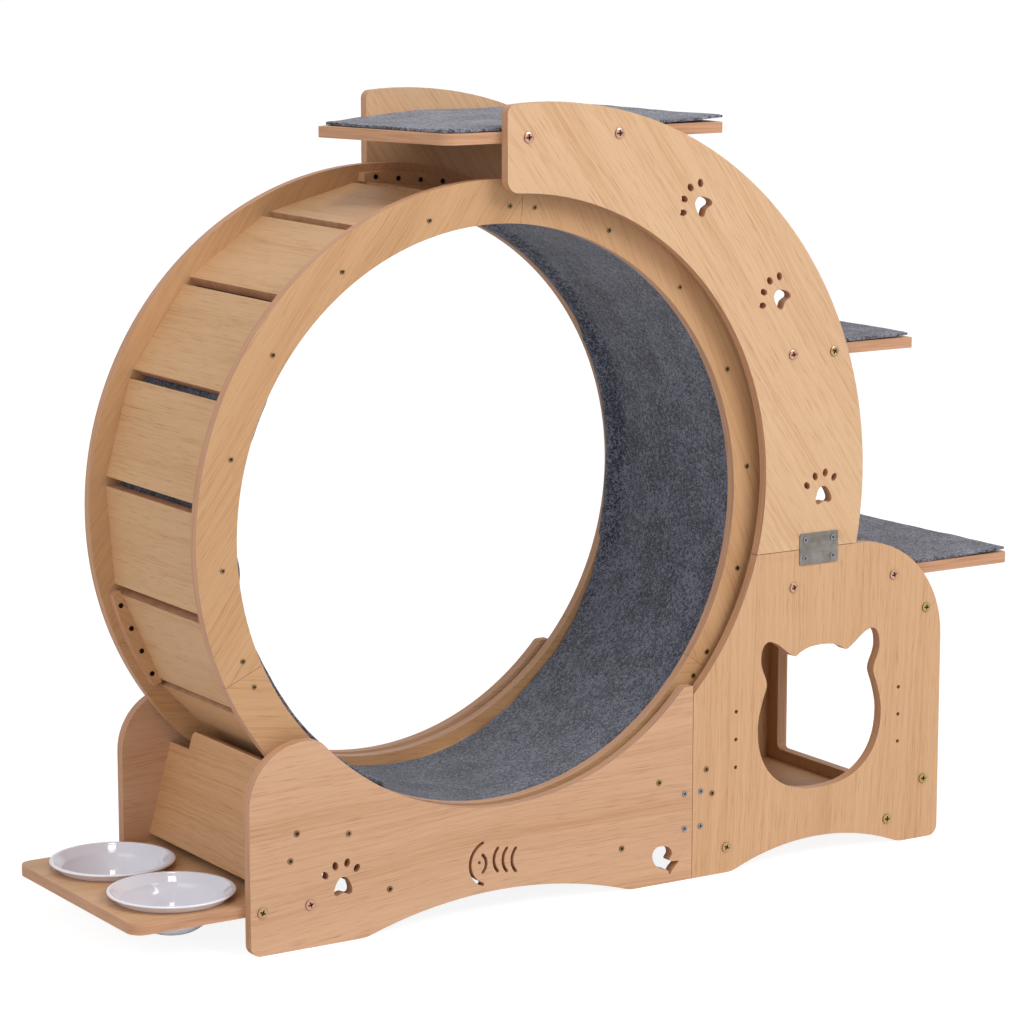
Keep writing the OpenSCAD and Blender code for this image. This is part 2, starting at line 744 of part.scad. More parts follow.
// toes and pad of a paw
module paw(turn) {
    rotate(turn)
        polygon(smooth_loop([for (s = pad_shares) paw_pad * s], 2));
    for (i = [0:3])
        rotate(turn)
            translate(paw_pad * toe_shares[i])
                rotate(toe_turn_shares[i])
                    scale([toe_width / toe_length, 1])
                        circle(r = toe_length / 2, $fn = 16);
}

// a crescent slot whose bulge points to the left, or to the right where it is negative
module crescent(height, bulge) {
    r = (height * height / 4 + bulge * bulge) / (2 * abs(bulge));
    reach = asin(height / 2 / r);
    side = bulge > 0 ? 180 : 0;
    c = [bulge > 0 ? r - bulge : -r - bulge, 0];
    polygon(concat(
        arc(c, r + bone_width / 2, side - reach, side + reach, 12),
        arc(c + polar(r, side + reach), bone_width / 2, side + reach, side + reach + 180, 5),
        arc(c, r - bone_width / 2, side + reach, side - reach, 12),
        arc(c + polar(r, side - reach), bone_width / 2, side - reach + 180, side - reach + 360, 5)
    ));
}

module fishbone() {
    translate([-bone_shift, -cradle_r - bone_drop]) {
        crescent(bone_head_height, bone_head_bulge);
        crescent(bone_collar_height, -bone_collar_bulge);
        translate([-bone_collar_bulge, bone_eye_r])
            circle(r = bone_eye_r);
    }
    first_rib = bone_head_bulge + bone_width + rib_start_share * bone_pitch - bone_shift;
    for (i = [0:rib_count - 1])
        translate([first_rib + i * bone_pitch, bone_eye_r - cradle_r - bone_drop - i * bone_step])
            crescent(bone_height, bone_bulge);
}

module fish() {
    translate([seam_x - fish_inset, floor_z + fish_sill])
        polygon(smooth_loop([for (s = fish_shares) [s[0] * fish_width, s[1] * fish_height]], 2));
}

// wheel
module ring_segment(index, side) {
    start = first_joint_angle + index * ring_span;
    seam = asin(ring_seam / wheel_r);
    color(oak)
        placed()
            difference() {
                translate([0, side < 0 ? -ring_back : ring_face, 0])
                    rotate([90, 0, 0])
                        rotate([0, 0, start + seam / 2])
                            rotate_extrude(angle = ring_span - seam)
                                translate([ring_r, 0])
                                    square([ring_band, ring_thick]);
                for (k = [0:slat_count - 1])
                    at_angle(first_joint_angle + k * slat_step)
                        slat_screw_holes(k, side);
                for (k = [0:ring_parts - 1])
                    at_angle(first_joint_angle + k * ring_span)
                        for (p = splice_screw_places())
                            side_rod(p, side, ring_back - over, ring_back + ring_grip, screw_r + shaft_gap);
            }
}

// how far a splice screw's hole reaches into the ring
ring_grip = splice_screw_length - splice_thick + tip_gap;
function splice_screw_places() = [
    for (z = [-splice_pitch_outer, -splice_pitch_inner, splice_pitch_inner, splice_pitch_outer])
        [slat_outer + splice_screw_rise, z / 2]
];
function bridges_joint(k) = k % (slat_count / ring_parts) == 0;
function slat_screw_places(k) = [
    for (z = bridges_joint(k) ? [-joint_screw_pitch / 2, joint_screw_pitch / 2] : [0]) [slat_mid, z]
];

module slat_screw_holes(k, side) {
    for (p = slat_screw_places(k))
        side_rod(p, side, ring_face - ring_screw_length - tip_gap, ring_face + over, screw_r + shaft_gap);
}

module slat(index) {
    color(oak)
        placed()
            at_angle(first_joint_angle + index * slat_step)
                difference() {
                    translate([slat_inner, -slat_length / 2, -slat_width / 2])
                        cube([slat_thick, slat_length, slat_width]);
                    for (side = [-1, 1])
                        slat_screw_holes(index, side);
                }
}

splice_lean = asin(splice_length / 2 / splice_r);
splice_outline = concat(
    [[slat_outer, -splice_length / 2], [slat_outer, splice_length / 2]],
    arc([0, 0], splice_r, splice_lean, -splice_lean, 12)
);

module ring_splice_plates() {
    color(oak)
        placed()
            for (k = [0:ring_parts - 1])
                for (side = [-1, 1])
                    at_angle(first_joint_angle + k * ring_span)
                        difference() {
                            side_slab(side, splice_back, ring_back)
                                polygon(splice_outline);
                            for (p = splice_screw_places())
                                side_rod(p, side, splice_back - over, ring_back + over, screw_r + shaft_gap);
                        }
}

module slat_screws() {
    color(brass)
        placed()
            for (k = [0:slat_count - 1])
                at_angle(first_joint_angle + k * slat_step)
                    for (p = slat_screw_places(k))
                        for (side = [-1, 1])
                            screw(p, side, ring_face, ring_screw_length, screw_r, ring_head_r, screw_head_h);
}

module splice_screws() {
    color(dark_steel)
        placed()
            for (k = [0:ring_parts - 1])
                at_angle(first_joint_angle + k * ring_span)
                    splice_screw_set();
}

module splice_screw_set() {
    for (p = splice_screw_places())
        for (side = [-1, 1])
            screw(p, side, -splice_back, splice_screw_length, screw_r, ring_head_r, screw_head_h);
}

module wheel_carpet() {
    color(felt)
        placed()
            translate([0, slat_length / 2, 0])
                rotate([90, 0, 0])
                    rotate_extrude()
                        translate([slat_inner - carpet_gap - carpet_thick, 0])
                            square([carpet_thick, slat_length]);
}

// rollers
module roller(p, side) {
    color(nylon)
        placed()
            translate([p[0], side * roller_y + roller_width / 2, p[1]])
                rotate([90, 0, 0])
                    rotate_extrude()
                        polygon([
                            [sleeve_r + running_gap, 0], [flange_r, 0], [flange_r, flange_width],
                            [roller_r, flange_width], [roller_r, roller_width - flange_width],
                            [flange_r, roller_width - flange_width], [flange_r, roller_width],
                            [sleeve_r + running_gap, roller_width]
                        ]);
}

module roller_sleeves() {
    color(steel)
        placed()
            for (p = [axle_left, axle_right])
                for (side = [-1, 1])
                    translate([p[0], side < 0 ? -notch_y : panel_back, p[1]])
                        rotate([90, 0, 0])
                            rotate_extrude()
                                translate([axle_r + shaft_gap, 0])
                                    square([sleeve_wall, panel_back - notch_y]);
}

module axle_screws() {
    color(brass)
        placed()
            for (p = [axle_left, axle_right])
                for (side = [-1, 1])
                    screw(p, side, panel_face, axle_length, axle_r, screw_head_r, screw_head_h);
}

// side panels
module base_panel(side) {
    color(oak)
        placed()
            difference() {
                side_slab(side, panel_back, panel_face)
                    polygon(base_outline);
                side_slab(side, panel_back - over, panel_face + over)
                    base_cuts();
                screw_holes(base_bolts, bolt_r, bolt_length);
                screw_holes(base_screws, screw_r, screw_length);
                screw_holes([axle_left, axle_right], axle_r, axle_length);
                screw_holes(block_screws, screw_r, block_screw_length);
            }
}

module base_cuts() {
    translate(polar(wheel_r + base_paw_out, 180 + base_paw_angle))
        paw(0);
    fishbone();
    fish();
}

module house_panel(side) {
    color(oak)
        placed()
            difference() {
                side_slab(side, panel_back, panel_face)
                    polygon(house_outline);
                side_slab(side, panel_back - over, panel_face + over)
                    translate([door_x, door_z])
                        polygon(door_outline);
                for (p = peg_holes)
                    side_rod(p, side, panel_back - over, panel_face + over, peg_r);
                screw_holes(house_bolts, bolt_r, bolt_length);
                screw_holes(end_bolts, bolt_r, end_bolt_length);
                screw_holes(house_screws, screw_r, screw_length);
                screw_holes(block_screws, screw_r, block_screw_length);
                screw_holes(steel_screws, screw_r, short_length);
            }
}

module arc_panel(side) {
    color(oak)
        placed()
            difference() {
                side_slab(side, panel_back, panel_face)
                    polygon(arc_outline);
                side_slab(side, panel_back - over, panel_face + over)
                    arc_cuts();
                screw_holes(arc_bolts, bolt_r, bolt_length);
                screw_holes(steel_screws, screw_r, short_length);
            }
}

module arc_cuts() {
    translate(polar(wheel_r + upper_paw_out, upper_paw_angle))
        paw(upper_paw_turn);
    translate(polar(wheel_r + middle_paw_out, middle_paw_angle))
        paw(upper_paw_turn);
    translate(polar(wheel_r + lower_paw_out, lower_paw_angle))
        paw(lower_paw_turn);
}

module splice_plates() {
    w = plate_width / 2;
    h = plate_height / 2;
    plate_outline = rounded([[-w, -h], [w, -h], [w, h], [-w, h]], [for (i = [0:3]) plate_round]);
    color(steel)
        placed()
            for (side = [-1, 1])
                difference() {
                    side_slab(side, panel_face, plate_face)
                        translate(plate_c)
                            polygon(plate_outline);
                    for (p = steel_screws)
                        side_rod(p, side, panel_face - over, plate_face + over, screw_r + shaft_gap);
                }
}

module plate_screws() {
    color(steel)
        placed()
            for (side = [-1, 1]) {
                for (p = steel_screws)
                    screw(p, side, plate_face, short_length, screw_r, screw_head_r, screw_head_h);
                for (p = block_screws)
                    screw(p, side, panel_face, block_screw_length, screw_r, screw_head_r, screw_head_h);
            }
}

module joint_blocks() {
    color(oak)
        placed()
            for (side = [-1, 1])
                difference() {
                    side_slab(side, panel_back - block_thick, panel_back)
                        translate(block_c - [block_width, block_height] / 2)
                            square([block_width, block_height]);
                    screw_holes(block_screws, screw_r, block_screw_length);
                }
}

// boards between the panels
module flat_board(z, thick) {
    translate([0, 0, z])
        linear_extrude(height = thick)
            children();
}

function top_outline(inset) = rounded(
    [
        [top_right - inset, -panel_back + inset], [top_right - inset, panel_back - inset],
        [top_rear + inset, panel_back - inset], [-top_tip + 3 * inset, top_tip_back + inset / 2],
        [-top_left + inset, -panel_back + inset]
    ],
    [0, 0, 0, 0, top_round]
);
function middle_outline(inset) = [
    [middle_left + inset, -panel_back + inset], [middle_left + middle_length - inset, -panel_back + inset],
    [middle_left + middle_length - inset, panel_back - inset], [middle_left + inset, panel_back - inset]
];
function low_outline(inset) = rounded(
    [
        [low_left + inset, -panel_back + inset], [low_right - inset, -panel_back + inset],
        [low_right - inset, panel_back - inset], [low_left + inset, panel_back - inset]
    ],
    [0, low_round, low_round, 0]
);

module top_platform() {
    color(oak)
        placed()
            difference() {
                flat_board(top_z, platform_thick)
                    polygon(top_outline(0));
                screw_holes(arc_bolts, bolt_r, bolt_length);
            }
}

module middle_platform() {
    color(oak)
        placed()
            difference() {
                flat_board(middle_z, platform_thick)
                    polygon(middle_outline(0));
                screw_holes(arc_bolts, bolt_r, bolt_length);
            }
}

module low_platform() {
    color(oak)
        placed()
            difference() {
                flat_board(low_z, platform_thick)
                    polygon(low_outline(0));
                screw_holes(house_bolts, bolt_r, bolt_length);
            }
}

module top_mat() {
    color(felt)
        placed()
            flat_board(top_z + platform_thick, mat_thick)
                polygon(top_outline(mat_inset));
}

module middle_mat() {
    color(felt)
        placed()
            flat_board(middle_z + platform_thick, mat_thick)
                polygon(middle_outline(mat_inset));
}

module low_mat() {
    color(felt)
        placed()
            flat_board(low_top, mat_thick)
                polygon(low_outline(mat_inset));
}

module house_floor() {
    color(oak)
        placed()
            difference() {
                translate([floor_left, -panel_back, floor_board_z])
                    cube([end_back - floor_left, 2 * panel_back, house_board]);
                screw_holes(house_bolts, bolt_r, bolt_length);
            }
}

module end_board() {
    low = floor_z + doorway_sill;
    high = end_top - doorway_head;
    half = doorway_half;
    color(oak)
        placed()
            difference() {
                translate([end_back, -panel_back, floor_board_z])
                    cube([house_board, 2 * panel_back, end_top - floor_board_z]);
                translate([end_back - over, 0, 0])
                    rotate([90, 0, 90])
                        linear_extrude(height = house_board + 2 * over)
                            polygon(rounded(
                                [[-half, low], [half, low], [half, high], [-half, high]],
                                [for (i = [0:3]) doorway_round]
                            ));
                screw_holes(end_bolts, bolt_r, end_bolt_length);
            }
}

// guard board in its own plane: sideways is the depth, upwards is along the board
guard_outline = rounded(
    [
        [-panel_back, -guard_foot], [panel_back, -guard_foot], [panel_back, guard_shoulder],
        [guard_half, guard_shoulder], [guard_half, guard_top], [-guard_half, guard_top],
        [-guard_half, guard_shoulder], [-panel_back, guard_shoulder]
    ],
    [0, 0, 0, 0, guard_round, guard_round, 0, 0]
);

module guard_board(p, lean, screws) {
    color(oak)
        placed()
            difference() {
                translate([p[0], 0, p[1]])
                    rotate([0, lean, 0])
                        translate([-cradle_board / 2, 0, 0])
                            rotate([90, 0, 90])
                                linear_extrude(height = cradle_board)
                                    polygon(guard_outline);
                screw_holes(screws, screw_r, screw_length);
            }
}

// roller board in its own plane, with its upper corners cut away round the rollers
roller_outline = [
    [-panel_back, -roller_screw - roller_foot], [panel_back, -roller_screw - roller_foot],
    [panel_back, -notch_depth], [notch_y, -notch_depth], [notch_y, roller_head],
    [-notch_y, roller_head], [-notch_y, -notch_depth], [-panel_back, -notch_depth]
];

module roller_board(p, lean, low_screw) {
    color(oak)
        placed()
            difference() {
                translate([p[0], 0, p[1]])
                    rotate([0, lean, 0])
                        translate([-cradle_board / 2, 0, 0])
                            rotate([90, 0, 90])
                                linear_extrude(height = cradle_board)
                                    polygon(roller_outline);
                screw_holes([p], axle_r, axle_length);
                screw_holes([low_screw], screw_r, screw_length);
            }
}

module bowl_shelf() {
    color(oak)
        placed()
            difference() {
                flat_board(shelf_z, shelf_thick)
                    polygon(rounded(
                        [
                            [shelf_left, -panel_back], [shelf_right, -panel_back],
                            [shelf_right, panel_back], [shelf_left, panel_back]
                        ],
                        [shelf_round, 0, 0, shelf_round]
                    ));
                for (side = [-1, 1])
                    translate([bowl_x, side * bowl_pitch / 2, shelf_z - over])
                        cylinder(h = shelf_thick + 2 * over, r = bowl_body_r + bowl_gap);
                screw_holes(base_bolts, bolt_r, bolt_length);
            }
}

// screws through the panels
module panel_bolts() {
    color(copper)
        placed()
            for (side = [-1, 1]) {
                for (p = concat(base_bolts, house_bolts, arc_bolts))
                    screw(p, side, panel_face, bolt_length, bolt_r, bolt_head_r, bolt_head_h);
                for (p = end_bolts)
                    screw(p, side, panel_face, end_bolt_length, bolt_r, bolt_head_r, bolt_head_h);
            }
}

module panel_screws() {
    color(brass)
        placed()
            for (p = concat(base_screws, house_screws))
                for (side = [-1, 1])
                    screw(p, side, panel_face, screw_length, screw_r, screw_head_r, screw_head_h);
}

// bowls
function bowl_curve(foot, body, z) = [
    for (i = [1:9])
        let (s = i / 9)
        [foot + (body - foot) * s, z * pow(1 - pow(s, bowl_fullness), 1 / bowl_fullness)]
];
function reversed(list) = [for (i = [len(list) - 1:-1:0]) list[i]];
module bowl(side) {
    inner_r = bowl_body_r - bowl_wall;
    well_r = bowl_foot_r - bowl_wall / 2;
    well_z = -bowl_depth + bowl_wall;
    roll_z = bowl_lip_height - bowl_roll_height;
    roll_r = bowl_rim_r - bowl_roll;
    roll = [for (s = rim_shares) [bowl_rim_r - s[0] * bowl_roll, roll_z + s[1] * bowl_roll_height]];
    color(glaze)
        placed()
            translate([bowl_x, side * bowl_pitch / 2, shelf_z + shelf_thick + bowl_seat_gap])
                rotate_extrude()
                    polygon(concat(
                        [[0, -bowl_depth], [bowl_foot_r, -bowl_depth]],
                        bowl_curve(bowl_foot_r, bowl_body_r, -bowl_depth),
                        [[bowl_body_r + bowl_ledge, 0], [roll_r, roll_z]],
                        roll,
                        [[roll_r - bowl_wall / 2, bowl_lip_height]],
                        reversed(bowl_curve(well_r, inner_r, well_z)),
                        [[well_r * well_share, well_z], [0, well_z]]
                    ));
}

module front_ring_a() { ring_segment(0, -1); }
module front_ring_b() { ring_segment(1, -1); }
module front_ring_c() { ring_segment(2, -1); }
module rear_ring_a() { ring_segment(0, 1); }
module rear_ring_b() { ring_segment(1, 1); }
module rear_ring_c() { ring_segment(2, 1); }
module slat_01() { slat(0); }
module slat_02() { slat(1); }
module slat_03() { slat(2); }
module slat_04() { slat(3); }
module slat_05() { slat(4); }
module slat_06() { slat(5); }
module slat_07() { slat(6); }
module slat_08() { slat(7); }
module slat_09() { slat(8); }
module slat_10() { slat(9); }
module slat_11() { slat(10); }
module slat_12() { slat(11); }
module slat_13() { slat(12); }
module slat_14() { slat(13); }
module slat_15() { slat(14); }
module slat_16() { slat(15); }
module slat_17() { slat(16); }
module slat_18() { slat(17); }
module front_left_roller() { roller(axle_left, -1); }
module front_right_roller() { roller(axle_right, -1); }
module rear_left_roller() { roller(axle_left, 1); }
module rear_right_roller() { roller(axle_right, 1); }
module front_base_panel() { base_panel(-1); }
module rear_base_panel() { base_panel(1); }
module front_house_panel() { house_panel(-1); }
module rear_house_panel() { house_panel(1); }
module front_arc_panel() { arc_panel(-1); }
module rear_arc_panel() { arc_panel(1); }
module left_guard_board() { guard_board(guard_left, guard_lean, guard_left_screws); }
module right_guard_board() { guard_board(guard_right, -guard_lean, guard_right_screws); }
module left_roller_board() { roller_board(axle_left, roller_lean - 90, roller_left_screw); }
module right_roller_board() { roller_board(axle_right, 90 - roller_lean, roller_right_screw); }
module front_bowl() { bowl(-1); }
module rear_bowl() { bowl(1); }

front_ring_a();
front_ring_b();
front_ring_c();
rear_ring_a();
rear_ring_b();
rear_ring_c();
slat_01();
slat_02();
slat_03();
slat_04();
slat_05();
slat_06();
slat_07();
slat_08();
slat_09();
slat_10();
slat_11();
slat_12();
slat_13();
slat_14();
slat_15();
slat_16();
slat_17();
slat_18();
ring_splice_plates();
slat_screws();
splice_screws();
wheel_carpet();
front_left_roller();
front_right_roller();
rear_left_roller();
rear_right_roller();
roller_sleeves();
front_base_panel();
rear_base_panel();
front_house_panel();
rear_house_panel();
front_arc_panel();
rear_arc_panel();
splice_plates();
plate_screws();
joint_blocks();
top_platform();
middle_platform();
low_platform();
top_mat();
middle_mat();
low_mat();
house_floor();
end_board();
left_guard_board();
right_guard_board();
left_roller_board();
right_roller_board();
bowl_shelf();
panel_bolts();
panel_screws();
axle_screws();
front_bowl();
rear_bowl();
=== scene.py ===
import json
import math

import bmesh
import bpy
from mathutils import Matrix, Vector, noise

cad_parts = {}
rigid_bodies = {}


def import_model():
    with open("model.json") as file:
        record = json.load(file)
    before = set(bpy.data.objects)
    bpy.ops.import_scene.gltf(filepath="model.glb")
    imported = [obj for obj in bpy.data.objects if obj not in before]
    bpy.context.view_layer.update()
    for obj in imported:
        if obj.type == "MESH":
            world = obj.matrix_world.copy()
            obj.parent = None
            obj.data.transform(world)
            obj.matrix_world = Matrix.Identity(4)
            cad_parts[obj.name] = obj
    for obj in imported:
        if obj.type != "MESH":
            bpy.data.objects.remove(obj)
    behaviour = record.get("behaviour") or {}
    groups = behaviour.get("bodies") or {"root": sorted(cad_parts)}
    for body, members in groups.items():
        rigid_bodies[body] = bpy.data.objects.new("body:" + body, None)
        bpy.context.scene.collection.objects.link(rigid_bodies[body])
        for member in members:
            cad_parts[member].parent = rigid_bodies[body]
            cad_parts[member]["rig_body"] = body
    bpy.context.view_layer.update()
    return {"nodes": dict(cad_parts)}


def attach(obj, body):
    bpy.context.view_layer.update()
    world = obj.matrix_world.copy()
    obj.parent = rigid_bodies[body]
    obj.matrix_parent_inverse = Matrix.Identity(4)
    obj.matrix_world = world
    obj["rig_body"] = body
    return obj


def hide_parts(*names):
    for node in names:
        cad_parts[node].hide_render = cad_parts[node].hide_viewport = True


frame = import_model()
scene = bpy.context.scene
cadNodes = frame["nodes"]

# Camera: the photograph's own place, from the ellipses of the two rings.
camera = {
    "place": (-2.6765, -4.1602, 1.3958),
    "pitch": -10.2,  # degrees below level
    "yaw": 32.42,  # degrees to the right of straight on
    "lens": 126.45,
}
cameraData = bpy.data.cameras.new("camera")
cameraData.lens = camera["lens"]
cameraData.sensor_width = 36
cameraData.clip_end = 60
cameraObject = bpy.data.objects.new("camera", cameraData)
cameraObject.location = camera["place"]
cameraObject.rotation_euler = (math.radians(90 + camera["pitch"]), 0, math.radians(-camera["yaw"]))
scene.collection.objects.link(cameraObject)
scene.camera = cameraObject

# the wheel's centre, from which the places and heights below are measured, in metres
wheelCentre = Vector((-0.162, 0, 0.54))


# sRGB hex to linear RGBA, made darker or lighter by strength and redder by warmth
def linear(hexColour, strength=1.0, warmth=0.0):
    values = [int(hexColour[i : i + 2], 16) / 255 for i in (1, 3, 5)]
    values = [v / 12.92 if v <= 0.04045 else ((v + 0.055) / 1.055) ** 2.4 for v in values]
    tint = (1 + warmth, 1, 1 - warmth)
    return tuple(min(1.0, v * strength * t) for v, t in zip(values, tint)) + (1.0,)


# adds a node with its settings, and sets or links its inputs
def addNode(tree, kind, settings=None, inputs=None):
    node = tree.nodes.new(kind)
    for name, value in (settings or {}).items():
        setattr(node, name, value)
    for name, value in (inputs or {}).items():
        socket = node.inputs[name]
        if isinstance(value, bpy.types.NodeSocket):
            tree.links.new(value, socket)
        else:
            socket.default_value = value
    return node


def newMaterial(name):
    material = bpy.data.materials.new(name)
    material.use_nodes = True
    tree = material.node_tree
    tree.nodes.clear()
    output = addNode(tree, "ShaderNodeOutputMaterial")
    return material, tree, output


def meshObject(name, vertices, faces, material=None, smooth=True):
    mesh = bpy.data.meshes.new(name)
    mesh.from_pydata([tuple(v) for v in vertices], [], faces)
    mesh.validate()
    mesh.update()
    if smooth:
        mesh.polygons.foreach_set("use_smooth", [True] * len(mesh.polygons))
    piece = bpy.data.objects.new(name, mesh)
    scene.collection.objects.link(piece)
    if material:
        mesh.materials.append(material)
    return piece


# each stop is a place, a hex colour and, where needed, its strength and warmth
def ramp(tree, factor, stops):
    node = addNode(tree, "ShaderNodeValToRGB", None, {"Fac": factor})
    elements = node.color_ramp.elements
    while len(elements) < len(stops):
        elements.new(0.5)
    for element, stop in zip(elements, stops):
        element.position = stop[0]
        element.color = linear(*stop[1:])
    return node.outputs["Color"]


# a noise whose coordinates are stretched by the three scales, in cycles per metre
def stretched(tree, vector, scales, detail=2.0, roughness=0.5):
    scaled = addNode(
        tree, "ShaderNodeVectorMath", {"operation": "MULTIPLY"}, {0: vector, 1: scales}
    ).outputs["Vector"]
    return addNode(
        tree, "ShaderNodeTexNoise", None,
        {"Vector": scaled, "Scale": 1.0, "Detail": detail, "Roughness": roughness},
    ).outputs["Fac"]


# value * factor + rest
def weighted(tree, value, factor, rest=0.0):
    return addNode(
        tree, "ShaderNodeMath", {"operation": "MULTIPLY_ADD"}, {0: value, 1: factor, 2: rest}
    ).outputs["Value"]


# Melamine-faced board printed with light oak: satin, with fine straight lines that swing gently
# round a few wide arches, short dark pores, and a browner, pinkish band ironed on round the cut
# edges. Each board has its own tone, matched to how bright it looks, with the arcs palest and the
# rings darkest; this paints part of the light and shade on each board into its colour.
oak = {
    # each board's tone also carries painted light and shade: the lit arcs palest, the rings darkest
    "arc": "#CBA580", "house": "#C59B74", "base": "#C39978", "ring": "#BC9168",
    "slat": "#C69C72", "guard": "#C7986C", "flat": "#C69C76",
    "pore": "#8F653F",
    "edge": "#C29372", "edgeDark": "#AD7F5E",
    "line": 0.0026,  # metres between the printed lines
    "fibre": 0.0012,  # metres, drawn a little coarser than print so that it shows
    "growth": 0.013,  # metres between growth bands
}


# grain and across are directions in the piece's own space; facing is the normal of its broad faces
def oakBoard(name, board, grain, across, facing=None, centre=None, shift=0.0, swing=1.0):
    material, tree, output = newMaterial(name)
    coordinates = addNode(tree, "ShaderNodeTexCoord")
    position = coordinates.outputs["Object"]
    third = Vector(grain).cross(Vector(across)).normalized()
    along, side, deep = [
        addNode(
            tree, "ShaderNodeVectorMath", {"operation": "DOT_PRODUCT"},
            {0: position, 1: Vector(d).normalized()},
        ).outputs["Value"]
        for d in (grain, across, third)
    ]
    local = addNode(
        tree, "ShaderNodeCombineXYZ", None, {"X": along, "Y": side, "Z": deep}
    ).outputs["Vector"]
    local = addNode(
        tree, "ShaderNodeVectorMath", {"operation": "ADD"},
        {0: local, 1: (shift, shift * 0.7, shift * 0.3)},
    ).outputs["Vector"]
    # the lines swing round slow waves of the log
    wave = stretched(tree, local, (1.8, 6.0, 6.0))
    wide = stretched(tree, local, (1.1, 2.6, 2.6), 1.0)
    ripple = stretched(tree, local, (14.0, 24.0, 24.0), 1.0)
    swung = weighted(
        tree, wide, 0.085 * swing,
        weighted(tree, wave, 0.020 * swing, weighted(tree, ripple, 0.004, side)),
    )
    bent = addNode(
        tree, "ShaderNodeCombineXYZ", None, {"X": along, "Y": swung, "Z": deep}
    ).outputs["Vector"]
    lines = stretched(tree, bent, (3.0, 1 / oak["line"], 1 / oak["line"]), 3.0, 0.55)
    fibres = stretched(tree, bent, (22.0, 1 / oak["fibre"], 1 / oak["fibre"]), 2.0, 0.6)
    # each growth band darkens slowly and ends sharply, as late wood does
    saw = addNode(
        tree, "ShaderNodeMath", {"operation": "FRACT"},
        {0: weighted(tree, swung, 1 / oak["growth"])},
    ).outputs["Value"]
    late = addNode(
        tree, "ShaderNodeMath", {"operation": "POWER"}, {0: saw, 1: 3.0}
    ).outputs["Value"]
    bands = stretched(tree, bent, (1.3, 24.0, 24.0), 1.0)
    tone = weighted(tree, lines, 0.42, weighted(tree, late, 0.045))
    tone = weighted(tree, fibres, 0.22, weighted(tree, bands, 0.32, tone))
    faceColour = ramp(
        tree, tone,
        [(0.36, oak[board], 1.10, -0.03), (0.50, oak[board], 1.0), (0.65, oak[board], 0.77, 0.11)],
    )
    pore = addNode(
        tree, "ShaderNodeMapRange", {"interpolation_type": "SMOOTHSTEP"},
        {"Value": fibres, "From Min": 0.58, "From Max": 0.72, "To Min": 0.0, "To Max": 0.50},
    ).outputs["Result"]
    faceColour = addNode(
        tree, "ShaderNodeMix", {"data_type": "RGBA", "blend_type": "MIX"},
        {"Factor": pore, 6: faceColour, 7: linear(oak["pore"])},
    ).outputs[2]
    # the edge band, wherever the surface doesn't face the way of the broad faces
    if centre is not None:
        offset = addNode(
            tree, "ShaderNodeVectorMath", {"operation": "SUBTRACT"}, {0: position, 1: centre}
        ).outputs["Vector"]
        flat = addNode(
            tree, "ShaderNodeVectorMath", {"operation": "MULTIPLY"}, {0: offset, 1: (1, 0, 1)}
        ).outputs["Vector"]
        broad = addNode(
            tree, "ShaderNodeVectorMath", {"operation": "NORMALIZE"}, {0: flat}
        ).outputs["Vector"]
    else:
        broad = Vector(facing).normalized()
    facingShare = addNode(
        tree, "ShaderNodeVectorMath", {"operation": "DOT_PRODUCT"},
        {0: coordinates.outputs["Normal"], 1: broad},
    ).outputs["Value"]
    facingShare = addNode(
        tree, "ShaderNodeMath", {"operation": "ABSOLUTE"}, {0: facingShare}
    ).outputs["Value"]
    isEdge = addNode(
        tree, "ShaderNodeMapRange", None,
        {"Value": facingShare, "From Min": 0.72, "From Max": 0.60, "To Min": 0.0, "To Max": 1.0},
    ).outputs["Result"]
    layered = [14.0 + 400.0 * abs(v) for v in broad] if centre is None else (60.0, 60.0, 60.0)
    edgeNoise = stretched(tree, position, layered, 3.0)
    edgeColour = ramp(tree, edgeNoise, [(0.30, oak["edgeDark"]), (0.62, oak["edge"])])
    colour = addNode(
        tree, "ShaderNodeMix", {"data_type": "RGBA", "blend_type": "MIX"},
        {"Factor": isEdge, 6: faceColour, 7: edgeColour},
    ).outputs[2]
    relief = addNode(
        tree, "ShaderNodeBump", None, {"Strength": 0.12, "Distance": 0.0003, "Height": fibres}
    ).outputs["Normal"]
    rough = addNode(
        tree, "ShaderNodeMapRange", None,
        {"Value": fibres, "From Min": 0.2, "From Max": 0.8, "To Min": 0.44, "To Max": 0.56},
    ).outputs["Result"]
    shader = addNode(
        tree, "ShaderNodeBsdfPrincipled", None,
        {
            "Base Color": colour, "Roughness": rough, "Normal": relief, "IOR": 1.48,
            "Specular IOR Level": 0.42,
        },
    )
    tree.links.new(shader.outputs["BSDF"], output.inputs["Surface"])
    return material


# Needle felt: pressed polyester fibres of two greys, matt, mottled in clumps of a few millimetres,
# with pale stray fibres and a soft fuzz that catches the light. Strength paints light and shade
# into
# the colour: the copy on the track is darker as painted shade, the copy on the mats lighter as
# painted light.
feltLook = {
    "dark": "#1D1D27",
    "middle": "#494A59",
    "pale": "#888896",
    "stray": "#A8A7B3",
    "clump": 0.0042,  # metres
    "fibre": 0.0013,  # metres
}


